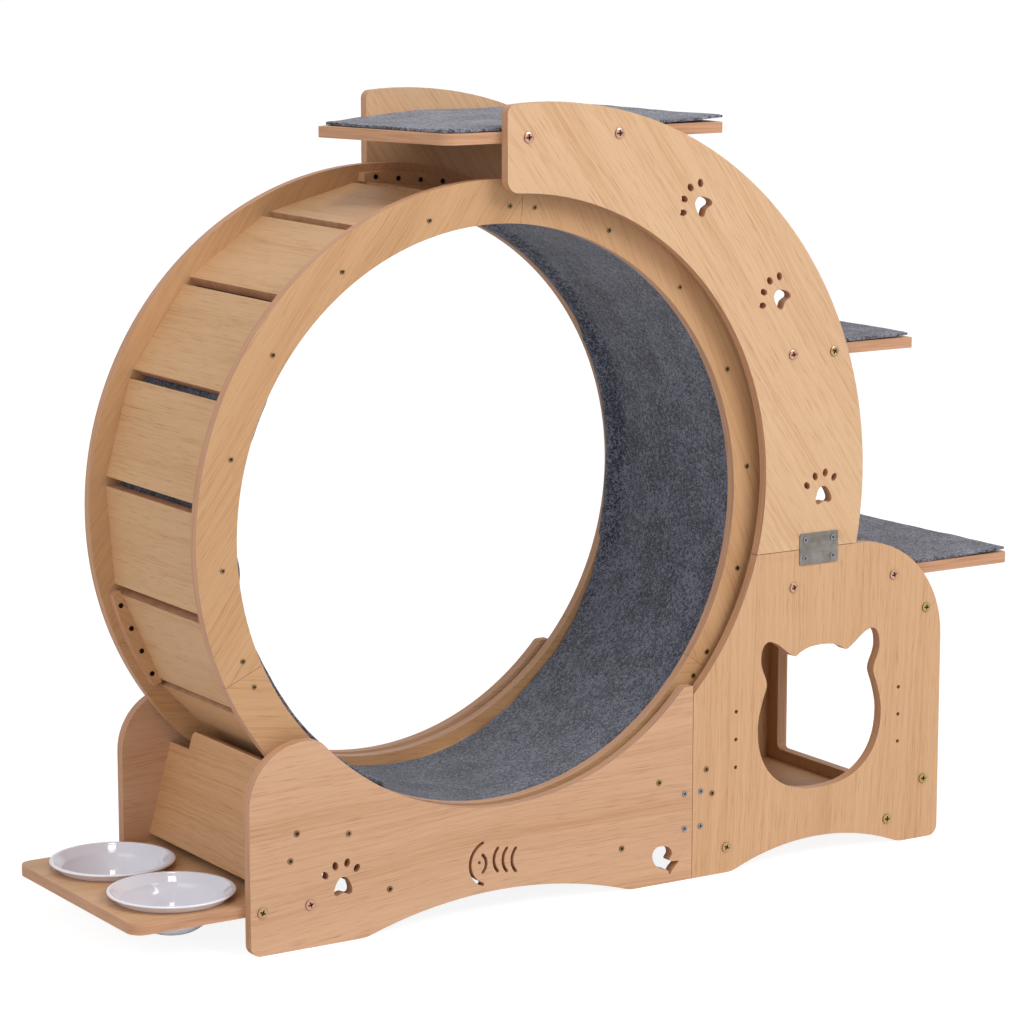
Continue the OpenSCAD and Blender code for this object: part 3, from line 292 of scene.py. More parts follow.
def needleFelt(name, strength, warmth=0.0):
    material, tree, output = newMaterial(name)
    position = addNode(tree, "ShaderNodeTexCoord").outputs["Object"]
    fine = addNode(
        tree, "ShaderNodeTexNoise", None,
        {"Vector": position, "Scale": 1.0 / feltLook["fibre"], "Detail": 2.0, "Roughness": 0.7},
    ).outputs["Fac"]
    clumps = addNode(
        tree, "ShaderNodeTexNoise", None,
        {
            "Vector": position, "Scale": 1.0 / feltLook["clump"], "Detail": 3.0, "Roughness": 0.75,
            "Distortion": 1.2,
        },
    ).outputs["Fac"]
    wide = addNode(
        tree, "ShaderNodeTexNoise", None, {"Vector": position, "Scale": 22.0, "Detail": 3.0}
    ).outputs["Fac"]
    tone = weighted(tree, clumps, 0.66, weighted(tree, fine, 0.20, weighted(tree, wide, 0.14)))
    stops = [(0.45, feltLook["dark"]), (0.50, feltLook["middle"]), (0.55, feltLook["pale"])]
    colour = ramp(tree, tone, [(at, hexColour, strength, warmth) for at, hexColour in stops])
    stray = addNode(
        tree, "ShaderNodeTexNoise", None,
        {
            "Vector": position, "Scale": 0.6 / feltLook["fibre"], "Detail": 2.0, "Roughness": 0.5,
            "Distortion": 2.5,
        },
    ).outputs["Fac"]
    stray = addNode(
        tree, "ShaderNodeMapRange", None,
        {"Value": stray, "From Min": 0.60, "From Max": 0.68, "To Min": 0.0, "To Max": 0.6},
    ).outputs["Result"]
    colour = addNode(
        tree, "ShaderNodeMix", {"data_type": "RGBA", "blend_type": "MIX"},
        {"Factor": stray, 6: colour, 7: linear(feltLook["stray"], strength, warmth)},
    ).outputs[2]
    relief = addNode(
        tree, "ShaderNodeBump", None, {"Strength": 0.5, "Distance": 0.0008, "Height": fine}
    ).outputs["Normal"]
    relief = addNode(
        tree, "ShaderNodeBump", None,
        {"Strength": 0.5, "Distance": 0.002, "Height": clumps, "Normal": relief},
    ).outputs["Normal"]
    shader = addNode(
        tree, "ShaderNodeBsdfPrincipled", None,
        {
            "Base Color": colour, "Roughness": 0.95, "Normal": relief, "Sheen Weight": 0.27,
            "Sheen Roughness": 0.6, "Specular IOR Level": 0.2,
        },
    )
    tree.links.new(shader.outputs["BSDF"], output.inputs["Surface"])
    return material


# A plated metal with fine handling marks; an attribute on the screw heads paints shade into the
# recess and the rim of each head, and "batch" mixes in the tint of another plating bath.
def metal(name, colour, rough, grit=0.0004, contrast=0.06, other=None):
    material, tree, output = newMaterial(name)
    position = addNode(tree, "ShaderNodeTexCoord").outputs["Object"]
    marks = addNode(
        tree, "ShaderNodeTexNoise", None, {"Vector": position, "Scale": 0.5 / grit, "Detail": 3.0}
    ).outputs["Fac"]
    finish = addNode(
        tree, "ShaderNodeMapRange", None,
        {
            "Value": marks, "From Min": 0.3, "From Max": 0.7, "To Min": rough - contrast,
            "To Max": rough + contrast,
        },
    ).outputs["Result"]
    # the share of painted shade on each screw head's recess and rim
    painted_shade = addNode(
        tree, "ShaderNodeAttribute", {"attribute_name": "painted_shade", "attribute_type": "GEOMETRY"}
    ).outputs["Fac"]
    batch = addNode(
        tree, "ShaderNodeAttribute", {"attribute_name": "batch", "attribute_type": "GEOMETRY"}
    ).outputs["Fac"]
    plated = addNode(
        tree, "ShaderNodeMix", {"data_type": "RGBA", "blend_type": "MIX"},
        {"Factor": batch, 6: linear(colour), 7: linear(other or colour)},
    ).outputs[2]
    # where that share is full, the plating is painted near black as shade
    plated = addNode(
        tree, "ShaderNodeMix", {"data_type": "RGBA", "blend_type": "MIX"},
        {"Factor": painted_shade, 6: plated, 7: linear(colour, 0.05)},
    ).outputs[2]
    shader = addNode(
        tree, "ShaderNodeBsdfPrincipled", None,
        {"Base Color": plated, "Metallic": 1.0, "Roughness": finish},
    )
    tree.links.new(shader.outputs["BSDF"], output.inputs["Surface"])
    return material


# Cold-rolled sheet, brushed along its length: short dull streaks and a few stains.
def brushedSteel(name):
    material, tree, output = newMaterial(name)
    position = addNode(tree, "ShaderNodeTexCoord").outputs["Object"]
    streaks = addNode(
        tree, "ShaderNodeTexNoise", None,
        {
            "Vector": addNode(
                tree, "ShaderNodeVectorMath", {"operation": "MULTIPLY"},
                {0: position, 1: (40.0, 40.0, 1600.0)},
            ).outputs["Vector"],
            "Scale": 1.0, "Detail": 4.0,
        },
    ).outputs["Fac"]
    stains = addNode(
        tree, "ShaderNodeTexNoise", None, {"Vector": position, "Scale": 60.0, "Detail": 4.0}
    ).outputs["Fac"]
    mixed = addNode(
        tree, "ShaderNodeMath", {"operation": "MULTIPLY_ADD"}, {0: streaks, 1: 0.6, 2: stains}
    ).outputs["Value"]
    colour = ramp(tree, mixed, [(0.55, "#78716B"), (0.95, "#97908A")])
    finish = addNode(
        tree, "ShaderNodeMapRange", None,
        {"Value": mixed, "From Min": 0.5, "From Max": 1.0, "To Min": 0.5, "To Max": 0.34},
    ).outputs["Result"]
    shader = addNode(
        tree, "ShaderNodeBsdfPrincipled", None,
        {"Base Color": colour, "Metallic": 0.9, "Roughness": finish},
    )
    tree.links.new(shader.outputs["BSDF"], output.inputs["Surface"])
    return material


# Glazed porcelain: cool white body under a clear glassy coat, with the faintest ripple in it.
def porcelain(name):
    material, tree, output = newMaterial(name)
    position = addNode(tree, "ShaderNodeTexCoord").outputs["Object"]
    ripple = addNode(
        tree, "ShaderNodeTexNoise", None, {"Vector": position, "Scale": 30.0, "Detail": 1.0}
    ).outputs["Fac"]
    tint = addNode(
        tree, "ShaderNodeTexNoise", None, {"Vector": position, "Scale": 12.0, "Detail": 2.0}
    ).outputs["Fac"]
    colour = ramp(tree, tint, [(0.3, "#DEDDE8"), (0.7, "#E6E5EF")])
    relief = addNode(
        tree, "ShaderNodeBump", None, {"Strength": 0.05, "Distance": 0.001, "Height": ripple}
    ).outputs["Normal"]
    shader = addNode(
        tree, "ShaderNodeBsdfPrincipled", None,
        {
            "Base Color": colour, "Roughness": 0.09, "Normal": relief, "IOR": 1.5,
            "Coat Weight": 0.3, "Coat Roughness": 0.04,
        },
    )
    tree.links.new(shader.outputs["BSDF"], output.inputs["Surface"])
    return material


# Moulded nylon: milky, dull, with a fine moulded grain.
def nylon(name):
    material, tree, output = newMaterial(name)
    position = addNode(tree, "ShaderNodeTexCoord").outputs["Object"]
    grain = addNode(
        tree, "ShaderNodeTexNoise", None, {"Vector": position, "Scale": 1500.0, "Detail": 2.0}
    ).outputs["Fac"]
    colour = ramp(tree, grain, [(0.3, "#DEDCD4"), (0.7, "#E8E6DF")])
    relief = addNode(
        tree, "ShaderNodeBump", None, {"Strength": 0.15, "Distance": 0.0002, "Height": grain}
    ).outputs["Normal"]
    shader = addNode(
        tree, "ShaderNodeBsdfPrincipled", None,
        {"Base Color": colour, "Roughness": 0.45, "Normal": relief, "IOR": 1.53},
    )
    tree.links.new(shader.outputs["BSDF"], output.inputs["Surface"])
    return material


# a direction in the upright plane, from the right-hand side upwards
def direction(degrees):
    return Vector((math.cos(math.radians(degrees)), 0, math.sin(math.radians(degrees))))


depth = Vector((0, 1, 0))
ringMiddles = {"a": 144.3, "b": 264.3, "c": 24.3}
boardMaterials = {}
for letter, middle in ringMiddles.items():
    for side, shift in (("front", 0.0), ("rear", 2.7)):
        boardMaterials[f"{side}_ring_{letter}"] = oakBoard(
            f"oak laminate ring {side} {letter}", "ring", direction(middle + 90), direction(middle),
            facing=depth, shift=shift + middle * 0.01,
        )
slatOak = oakBoard(
    "oak laminate slats", "slat", depth, direction(35), centre=wheelCentre, swing=0.5
)
baseOak = oakBoard(
    "oak laminate base", "base", direction(4), direction(94), facing=depth, shift=1.3, swing=1.5
)
houseOak = oakBoard(
    "oak laminate house", "house", direction(88), direction(-2), facing=depth, shift=4.1
)
arcOak = oakBoard("oak laminate arc", "arc", direction(125), direction(35), facing=depth, shift=7.9)
flatOak = oakBoard(
    "oak laminate platforms", "flat", Vector((1, 0, 0)), depth, facing=(0, 0, 1), shift=3.3
)
endOak = oakBoard(
    "oak laminate end board", "house", direction(90), depth, facing=(1, 0, 0), shift=5.2
)
guardOakLeft = oakBoard(
    "oak laminate left guard", "guard", depth, direction(74), facing=direction(-15.8), shift=6.1
)
guardOakRight = oakBoard(
    "oak laminate right guard", "guard", depth, direction(106), facing=direction(15.8), shift=8.3
)
rollerOakLeft = oakBoard(
    "oak laminate left roller board", "guard", depth, direction(126), facing=direction(36.2),
    shift=9.1,
)
rollerOakRight = oakBoard(
    "oak laminate right roller board", "guard", depth, direction(54), facing=direction(-36.2),
    shift=9.9,
)
spliceOak = oakBoard(
    "oak laminate splice plates", "ring", direction(144), direction(54), facing=depth, shift=2.2
)
# one felt in two copies: darker on the track as painted shade, lighter on the mats as painted light
shadedFelt = needleFelt("grey needle felt, darkened as shade", 0.78, -0.06)
litFelt = needleFelt("grey needle felt", 1.08)
plateSteel = brushedSteel("brushed sheet steel")
zinc = metal("bright zinc plating", "#97989B", 0.30)
yellowZinc = metal("yellow zinc plating", "#A5865F", 0.32, other="#80694C")
copperTone = metal("copper-toned zinc plating", "#D8A594", 0.20, other="#BFA66A")
blackOxide = metal("black oxide steel", "#2E2926", 0.42)
glaze = porcelain("white glazed porcelain")
rollerNylon = nylon("milky moulded nylon")
print("materials made")

# Boards: the solids' own outlines, with the small radius of a machined edge, in metres.
boardEdge = {"radius": 0.0007, "segments": 2}
rollerEdge = {"radius": 0.0005, "segments": 2}
plateEdge = {"radius": 0.0003, "segments": 2}
boardMaterials.update({f"slat_{i:02d}": slatOak for i in range(1, 19)})
boardMaterials.update({
    "ring_splice_plates": spliceOak, "front_base_panel": baseOak, "rear_base_panel": baseOak,
    "front_house_panel": houseOak, "rear_house_panel": houseOak, "front_arc_panel": arcOak,
    "rear_arc_panel": arcOak, "joint_blocks": baseOak, "top_platform": flatOak,
    "middle_platform": flatOak, "low_platform": flatOak, "house_floor": flatOak,
    "end_board": endOak, "left_guard_board": guardOakLeft, "right_guard_board": guardOakRight,
    "left_roller_board": rollerOakLeft, "right_roller_board": rollerOakRight, "bowl_shelf": flatOak,
})


# a merged copy of a solid with smooth walls and softened edges
def dressed(nodeName, material, slotName, radius=0, segments=0):
    node = cadNodes[nodeName]
    mesh = node.data.copy()
    build = bmesh.new()
    build.from_mesh(mesh)
    bmesh.ops.remove_doubles(build, verts=build.verts, dist=0.000002)
    bmesh.ops.dissolve_limit(
        build, angle_limit=math.radians(0.4), verts=build.verts, edges=build.edges,
        delimit={"NORMAL"},
    )
    build.to_mesh(mesh)
    build.free()
    mesh.materials.clear()
    mesh.materials.append(material)
    mesh.polygons.foreach_set("use_smooth", [True] * len(mesh.polygons))
    mesh.polygons.foreach_set("material_index", [0] * len(mesh.polygons))
    mesh.set_sharp_from_angle(angle=math.radians(32))
    piece = bpy.data.objects.new(nodeName.replace("_", "-") + "-dressed", mesh)
    scene.collection.objects.link(piece)
    if radius:
        bevel = piece.modifiers.new("soft edges", "BEVEL")
        bevel.width = radius
        bevel.segments = segments
        bevel.limit_method = "ANGLE"
        bevel.angle_limit = math.radians(50)
        bevel.use_clamp_overlap = True
        bevel.harden_normals = False
    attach(piece, node["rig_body"])
    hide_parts(nodeName)
    return piece


for nodeName, material in boardMaterials.items():
    dressed(nodeName, material, "oak_board", **boardEdge)
for nodeName in (
    "front_left_roller", "front_right_roller", "rear_left_roller", "rear_right_roller"
):
    dressed(nodeName, rollerNylon, "white_nylon", **rollerEdge)
dressed("roller_sleeves", zinc, "zinc_screws")
dressed("splice_plates", plateSteel, "steel_plate", **plateEdge)
print("boards dressed")

# Carpet on the track, in metres from the wheel's centre.
carpet = {
    "inner": 0.4007, "outer": 0.4057, "half": 0.1465,
    "edgeGap": 0.0016,  # mean gap to the rings
    "edgeWander": 0.0014,
    "swell": 0.0009,  # soft waves of the felt
    "rolled": 0.0014, "rolledReach": 0.004,  # how far a cut edge rolls down, and from where
    "climb": 0.0158, "slope": 0.028,  # rise onto a ring's inner edge, and over which width
    "frontRise": 0.0016,  # how much more the felt stands off the front ring's edge
    # degrees round the wheel and metres by which the rear edge was cut too short there
    "short": [
        (258, 0.0), (268, 0.012), (276, 0.019), (286, 0.018), (292, 0.014), (300, 0.011),
        (306, 0.005), (312, 0.0),
    ],
    "ragged": 0.0052,  # waves of that edge
    # degrees and metres by which the felt has climbed onto a ring's inner edge
    "rearLap": [
        (-44, 0.0), (-36, 0.0003), (-28, 0.0010), (-18, 0.0016), (-11, 0.0060), (-3, 0.0072),
        (10, 0.0062), (24, 0.0028), (34, 0.0017), (100, 0.0016), (116, 0.0),
    ],
    "frontLap": [
        (148, 0.0), (153, 0.0070), (159, 0.0070), (164, 0.0), (180, 0.0), (185, 0.0080), (190, 0.0),
        (198, 0.0), (208, 0.0096), (236, 0.0098), (248, 0.0),
    ],
    # degrees, spread, depth at the front edge
    "nicks": [(277.0, 1.6, 0.0045), (281.5, 0.6, 0.0060)],
    "around": 540, "across": 60,
}


# smooth steps through a list of (degrees, value), and zero outside it
def stepped(table, turn):
    for (fromTurn, fromValue), (toTurn, toValue) in zip(table, table[1:]):
        if fromTurn <= turn < toTurn:
            share = (turn - fromTurn) / (toTurn - fromTurn)
            share = share * share * (3 - 2 * share)
            return fromValue + (toValue - fromValue) * share
    return 0.0


def makeCarpet():
    c = carpet
    vertices, faces = [], []
    # (share across, share of thickness) from one edge over the face to the other and back
    shares = [-1 + 2 * i / c["across"] for i in range(c["across"] + 1)]
    profile = [(s, 1.0) for s in shares] + [(1.0, 0.5)] + [
        (s, 0.0) for s in reversed(shares)
    ] + [(-1.0, 0.5)]
    count = len(profile)
    for k in range(c["around"]):
        angle = 2 * math.pi * k / c["around"]
        ringPoint = Vector((math.cos(angle), 0, math.sin(angle)))
        turn = math.degrees(angle)
        cutShort = stepped(c["short"], turn)
        laps = (
            stepped(c["frontLap"], turn), stepped(c["rearLap"], turn - 360 if turn > 180 else turn)
        )
        cutShort += c["ragged"] * noise.noise(ringPoint * 8.0) * min(1.0, cutShort / 0.008)
        nick = sum(
            deep * math.exp(-(((turn - at) / spread) ** 4)) for at, spread, deep in c["nicks"]
        )
        for s, t in profile:
            sign = 1 if s > 0 else -1
            wander = noise.noise(ringPoint * 6.0 + Vector((0, sign * 3.0, 0))) + 0.5 * noise.noise(
                ringPoint * 23.0 + Vector((0, sign * 7.0, 0))
            )
            half = c["half"] - c["edgeGap"] - c["edgeWander"] * wander
            half -= max(0.0, cutShort) if sign > 0 else nick
            half = min(half, c["half"] - 0.0002)
            lap = laps[1] if sign > 0 else laps[0]
            half += lap
            y = s * half
            face = t * (c["outer"] - c["inner"])
            if t == 1.0:
                swell = noise.noise(ringPoint * 5.0 + Vector((0, y * 9.0, 0))) + 0.5 * noise.noise(
                    ringPoint * 14.0 + Vector((0, y * 26.0, 2))
                )
                face -= c["swell"] * (0.6 + swell)
                edge = min(1.0, (1 - abs(s)) * half / c["rolledReach"])
                face -= c["rolled"] * (1 - edge) ** 2
                face = min(face, c["outer"] - c["inner"])
            climb = 1 - max(0.0, min(1.0, (c["half"] - 0.0010 - abs(y)) / c["slope"]))
            rise = c["climb"] if sign > 0 else c["climb"] + c["frontRise"]
            face += rise * climb * climb * (3 - 2 * climb) * min(1.0, lap / 0.0025)
            r = c["outer"] - face
            vertices.append(wheelCentre + Vector((r * math.cos(angle), y, r * math.sin(angle))))
    for k in range(c["around"]):
        a, b = k * count, ((k + 1) % c["around"]) * count
        for i in range(count):
            j = (i + 1) % count
            faces.append((a + i, a + j, b + j, b + i))
    piece = meshObject("wheel-carpet", vertices, faces, shadedFelt)
    fixNormals(piece)
    piece.data.set_sharp_from_angle(angle=math.radians(60))
    return piece


def fixNormals(piece):
    build = bmesh.new()
    build.from_mesh(piece.data)
    bmesh.ops.recalc_face_normals(build, faces=build.faces)
    build.to_mesh(piece.data)
    build.free()


carpetPiece = makeCarpet()
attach(carpetPiece, "wheel")
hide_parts("wheel_carpet")

# Felt mats on the platforms, in metres from the wheel's centre. A left edge is a row of points
# (y, x); curl is the rise of the front right corner.
mats = {
    "top_mat": {
        "left": [(-0.172, -0.077), (0.0472, -0.138), (0.172, 0.0705)], "right": 0.3590,
        "floor": 0.5125, "round": 0.022, "curl": 0.0040, "across": 110, "deep": 80,
    },
    "middle_mat": {
        "left": [(-0.172, 0.4365), (0.172, 0.4365)], "right": 0.6865, "floor": 0.1945,
        "round": 0.002, "curl": 0.0025, "across": 70, "deep": 80,
    },
    "low_mat": {
        "left": [(-0.172, 0.4445), (0.172, 0.4445)], "right": 0.875, "floor": -0.1368,
        "round": 0.002, "curl": 0.0045, "across": 110, "deep": 80,
    },
}


matFelt = {
    "width": 0.344, "thick": 0.005,
    "gap": 0.0002,  # air under the felt
    "endWander": 0.0012, "sideWander": 0.0010, "widest": 0.1755,  # how far the cuts stray
    "lift": 0.0022, "liftReach": 0.030,  # how far the edges stand off, and from where
    "swell": 0.0006,
    "rolled": 0.0014, "rolledReach": 0.003,  # how far a cut edge rolls down, and from where
    "curlFrom": 0.62,  # the share of the length at which a corner starts to curl
}


def leftEdge(points, y):
    for (y0, x0), (y1, x1) in zip(points, points[1:]):
        if y <= y1 or (y1, x1) == points[-1]:
            return x0 + (x1 - x0) * (y - y0) / (y1 - y0)


def makeMat(name, m, seed):
    f = matFelt
    side = f["width"] / 2
    vertices, faces = [], []
    top, bottom = {}, {}
    low = m["floor"]
    for j in range(m["deep"] + 1):
        v = -side + f["width"] * j / m["deep"]
        for i in range(m["across"] + 1):
            u = i / m["across"]
            x0, x1 = leftEdge(m["left"], v), m["right"]
            if v < -side + m["round"]:  # rounded front corner
                d = 1 - (v + side) / m["round"]
                x0 += m["round"] * (1 - math.sqrt(max(0.0, 1 - d * d)))
            x0 += f["endWander"] * noise.noise(Vector((v * 22, seed, 1)))
            x1 += f["endWander"] * noise.noise(Vector((v * 22, seed, 5))) - 0.001
            x = x0 + (x1 - x0) * u
            wander = f["sideWander"] * noise.noise(Vector((x * 20, seed, 9 if v > 0 else 3)))
            y = v + wander * (abs(v) / side) ** 6
            y = max(-f["widest"], min(f["widest"], y))
            edge = min(u * (x1 - x0), (1 - u) * (x1 - x0), side - abs(v))
            wave = noise.noise(Vector((x * 11, y * 11, seed))) * 0.5 + 0.5
            lift = f["lift"] * wave * math.exp(-edge / f["liftReach"])
            # the front right corner has curled up in its box
            curl = max(0.0, (u - f["curlFrom"]) / (1 - f["curlFrom"]))
            lift += m["curl"] * curl ** 2 * (0.5 - v / f["width"]) ** 1.5
            swell = f["swell"] * noise.noise(Vector((x * 30, y * 30, seed + 4)))
            rounding = f["rolled"] * (1 - min(1.0, edge / f["rolledReach"])) ** 2
            top[i, j] = len(vertices)
            vertices.append(
                wheelCentre + Vector((x, y, low + f["thick"] + lift + swell - rounding))
            )
            bottom[i, j] = len(vertices)
            vertices.append(wheelCentre + Vector((x, y, low + f["gap"] + lift)))
    for j in range(m["deep"]):
        for i in range(m["across"]):
            faces.append((top[i, j], top[i + 1, j], top[i + 1, j + 1], top[i, j + 1]))
            faces.append((bottom[i, j], bottom[i, j + 1], bottom[i + 1, j + 1], bottom[i + 1, j]))
    for j in range(m["deep"]):
        for i in (0, m["across"]):
            faces.append((top[i, j], top[i, j + 1], bottom[i, j + 1], bottom[i, j]))
    for i in range(m["across"]):
        for j in (0, m["deep"]):
            faces.append((top[i, j], top[i + 1, j], bottom[i + 1, j], bottom[i, j]))
    piece = meshObject(name.replace("_", "-"), vertices, faces, litFelt)
    fixNormals(piece)
    piece.data.set_sharp_from_angle(angle=math.radians(60))
    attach(piece, "stand")
    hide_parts(name)
    return piece


topMat = makeMat("top_mat", mats["top_mat"], 1.5)
middleMat = makeMat("middle_mat", mats["middle_mat"], 4.5)
lowMat = makeMat("low_mat", mats["low_mat"], 8.5)
print("felt laid")

# Bowls, in metres, with heights above the shelf's top.
bowl = {
    "x": -0.455, "y": 0.087, "seat": -0.4737, "rim": 0.085, "body": 0.072, "depth": 0.044,
    "foot": 0.027, "fullness": 1.3, "wall": 0.0046, "height": 0.012, "ledge": 0.003,
    "roll": 0.003, "rollHeight": 0.0038, "segments": 96,
}


def makeBowl(name, side):
    b = bowl
    outside = [
        (0.0, -b["depth"] + 0.0016), (b["foot"] - 0.005, -b["depth"] + 0.0016),
        (b["foot"] - 0.003, -b["depth"]), (b["foot"] - 0.0005, -b["depth"]),
        (b["foot"] + 0.001, -b["depth"] + 0.002),
    ]
    curve = [
        (s, (1 - s ** b["fullness"]) ** (1 / b["fullness"]))
        for s in [math.sin(math.radians(90 * i / 18)) for i in range(1, 18)]
    ]
    for s, t in curve:
        outside.append((b["foot"] + (b["body"] - b["foot"]) * s + 0.0002, -b["depth"] * t + 0.0003))
    neck = b["rim"] - b["roll"]
    low = b["height"] - b["rollHeight"]
    outside += [
        (b["body"] + 0.0002, 0.0), (b["body"] + b["ledge"] - 0.0006, 0.0),
        (b["body"] + b["ledge"], 0.0006),
    ]
    outside += [
        (b["body"] + b["ledge"] + (neck - b["body"] - b["ledge"]) * s, low * s)
        for s in (0.35, 0.7, 0.92)
    ]
    # the rolled rim is a half round bead
    for i in range(0, 9):
        t = math.radians(-80 + 170 * i / 8)
        outside.append(
            (
                b["rim"] - b["roll"] + b["roll"] * math.cos(t),
                b["height"] - b["rollHeight"] / 2 + b["rollHeight"] / 2 * math.sin(t),
            )
        )
    inner = b["body"] - b["wall"]
    well = b["foot"] - b["wall"] / 2
    brink = neck - b["wall"] / 2
    inside = [
        (brink + 0.0012, b["height"] - 0.0001), (brink, b["height"] - 0.0007),
        (brink - 0.0012, b["height"] - 0.0021),
    ]
    inside += [
        (inner + (brink - 0.0012 - inner) * s, (b["height"] - 0.0021) * s ** 1.1)
        for s in (0.75, 0.5, 0.25)
    ]
    inside.append((inner, 0.0))
    for s, t in reversed(curve):
        inside.append((well + (inner - well) * s, (-b["depth"] + b["wall"]) * t))
    inside += [(well * 0.8, -b["depth"] + b["wall"]), (0.0, -b["depth"] + b["wall"])]
    profile = outside + inside
    centre = wheelCentre + Vector((b["x"], side * b["y"], b["seat"]))
    build = bmesh.new()
    rows = []
    for r, z in profile:
        if r == 0:
            rows.append([build.verts.new(centre + Vector((0, 0, z)))])
        else:
            rows.append(
                [
                    build.verts.new(centre + Vector((r * math.cos(a), r * math.sin(a), z)))
                    for a in [2 * math.pi * k / b["segments"] for k in range(b["segments"])]
                ]
            )
    for lowRow, highRow in zip(rows, rows[1:]):
        for k in range(b["segments"]):
            n = (k + 1) % b["segments"]
            if len(lowRow) == 1:
                build.faces.new((lowRow[0], highRow[k], highRow[n]))
            elif len(highRow) == 1:
                build.faces.new((lowRow[k], lowRow[n], highRow[0]))
            else:
                build.faces.new((lowRow[k], lowRow[n], highRow[n], highRow[k]))
    bmesh.ops.recalc_face_normals(build, faces=build.faces)
    mesh = bpy.data.meshes.new(name)
    build.to_mesh(mesh)
    build.free()
    mesh.polygons.foreach_set("use_smooth", [True] * len(mesh.polygons))
    mesh.materials.append(glaze)
    piece = bpy.data.objects.new(name.replace("_", "-") + "-glazed", mesh)
    scene.collection.objects.link(piece)
    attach(piece, name)
    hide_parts(name)


makeBowl("front_bowl", -1)
makeBowl("rear_bowl", 1)
print("bowls thrown")

# Screws and bolts, in metres. Socket is the share of a small head's radius, from its centre, that
# is painted dark as shade; length is the pattern's shaft, which fitShafts then brings to the length
# of each solid.
fasteners = {
    "slat_screws": {
        "socket": 0.45, "head": 0.0035, "height": 0.0012, "shaft": 0.002, "length": 0.045,
        "material": yellowZinc, "slot": "brass_screws", "body": "wheel",
    },
    "splice_screws": {
        "head": 0.0035, "height": 0.0012, "shaft": 0.002, "length": 0.026, "material": blackOxide,
        "slot": "dark_screws", "body": "wheel",
    },
    "panel_bolts": {
        "head": 0.007, "height": 0.0026, "shaft": 0.003, "length": 0.055, "material": copperTone,
        "slot": "copper_bolts", "body": "stand",
    },
    "panel_screws": {
        "socket": 0.45, "head": 0.00425, "height": 0.0012, "shaft": 0.002, "length": 0.045,
        "material": yellowZinc, "slot": "brass_screws", "body": "stand",
    },
    "axle_screws": {
        "socket": 0.45, "head": 0.00425, "height": 0.0012, "shaft": 0.0035, "length": 0.082,
        "material": yellowZinc, "slot": "brass_screws", "body": "stand",
    },
    "plate_screws": {
        "head": 0.00425, "height": 0.0012, "shaft": 0.002, "length": 0.020, "material": zinc,
        "slot": "zinc_screws", "body": "stand",
    },
}


# finds, from the loose parts of a fastener group's solid, the underside of each head, the side that
# it faces and the length of its shaft
def headPlaces(nodeName, spec):
    build = bmesh.new()
    build.from_mesh(cadNodes[nodeName].data)
    bmesh.ops.remove_doubles(build, verts=build.verts, dist=0.000002)
    seen, places = set(), []
    for start in build.verts:
        if start.index in seen:
            continue
        island, stack = [], [start]
        seen.add(start.index)
        while stack:
            v = stack.pop()
            island.append(v.co.copy())
            for e in v.link_edges:
                o = e.other_vert(v)
                if o.index not in seen:
                    seen.add(o.index)
                    stack.append(o)
        low = min(p.y for p in island)
        high = max(p.y for p in island)
        x = (min(p.x for p in island) + max(p.x for p in island)) / 2
        z = (min(p.z for p in island) + max(p.z for p in island)) / 2
        # the head is the wide end
        wideLow = max(abs(p.x - x) for p in island if p.y < low + spec["height"])
        wideHigh = max(abs(p.x - x) for p in island if p.y > high - spec["height"])
        length = high - low - spec["height"]
        if wideLow > wideHigh:
            places.append((Vector((x, low + spec["height"], z)), -1.0, length))
        else:
            places.append((Vector((x, high - spec["height"], z)), 1.0, length))
    build.free()
    return places


# how the cross is cut, in shares of the head's radius and height
cross = {"reach": 0.62, "halfArm": 0.15, "slope": 0.25, "deep": 0.75}


# a domed head with a cross recess, and its shaft, with the underside of the head at the origin
def makeHead(name, spec):
    rings, segments = 12, 32
    r, h = spec["head"], spec["height"]
    # each point gets a share of painted shade: most in the cross recess, at the centre out to
    # socket and round the head's edge and underside, about half on the outer rim
    vertices, faces, painted_shade = [], [], []
    vertices.append(Vector((0, 0, h * 0.25)))
    painted_shade.append(1.0)
    for i in range(1, rings + 1):
        s = i / rings
        for k in range(segments):
            a = 2 * math.pi * k / segments
            x, y = s * math.cos(a), s * math.sin(a)
            z = h * (0.35 + 0.65 * math.sqrt(max(0.0, 1 - (0.93 * s) ** 2)))
            arm = min(abs(x), abs(y))
            reach = max(abs(x), abs(y))
            if arm < cross["halfArm"] and reach < cross["reach"]:
                z -= h * cross["deep"] * min(1.0, (cross["reach"] - reach) / cross["slope"])
                painted_shade.append(0.9)
            else:
                painted_shade.append(0.55 if s > 0.99 else 0.9 if s < spec.get("socket", 0.0) else 0.0)
            vertices.append(Vector((r * x, r * y, z)))
    for radius, z in (
        (r, h * 0.12), (r * 0.97, 0.0), (spec["shaft"], 0.0),
        (spec["shaft"], -spec["length"] + spec["shaft"]), (0.0004, -spec["length"]),
    ):
        for k in range(segments):
            a = 2 * math.pi * k / segments
            vertices.append(Vector((radius * math.cos(a), radius * math.sin(a), z)))
            painted_shade.append(1.0 if z >= 0.0 else 0.0)
    for k in range(segments):
        faces.append((0, 1 + k, 1 + (k + 1) % segments))
    rows = rings + 5
    for i in range(rows - 1):
        for k in range(segments):
            n = (k + 1) % segments
            a, b = 1 + i * segments, 1 + (i + 1) * segments
            faces.append((a + k, b + k, b + n, a + n))
    last = 1 + (rows - 1) * segments
    faces.append(tuple(last + k for k in range(segments - 1, -1, -1)))
    head = meshObject(name, vertices, faces, None)
    fixNormals(head)
    head.data.set_sharp_from_angle(angle=math.radians(50))
    head.data.attributes.new("painted_shade", "FLOAT", "POINT").data.foreach_set("value", painted_shade)
    return head


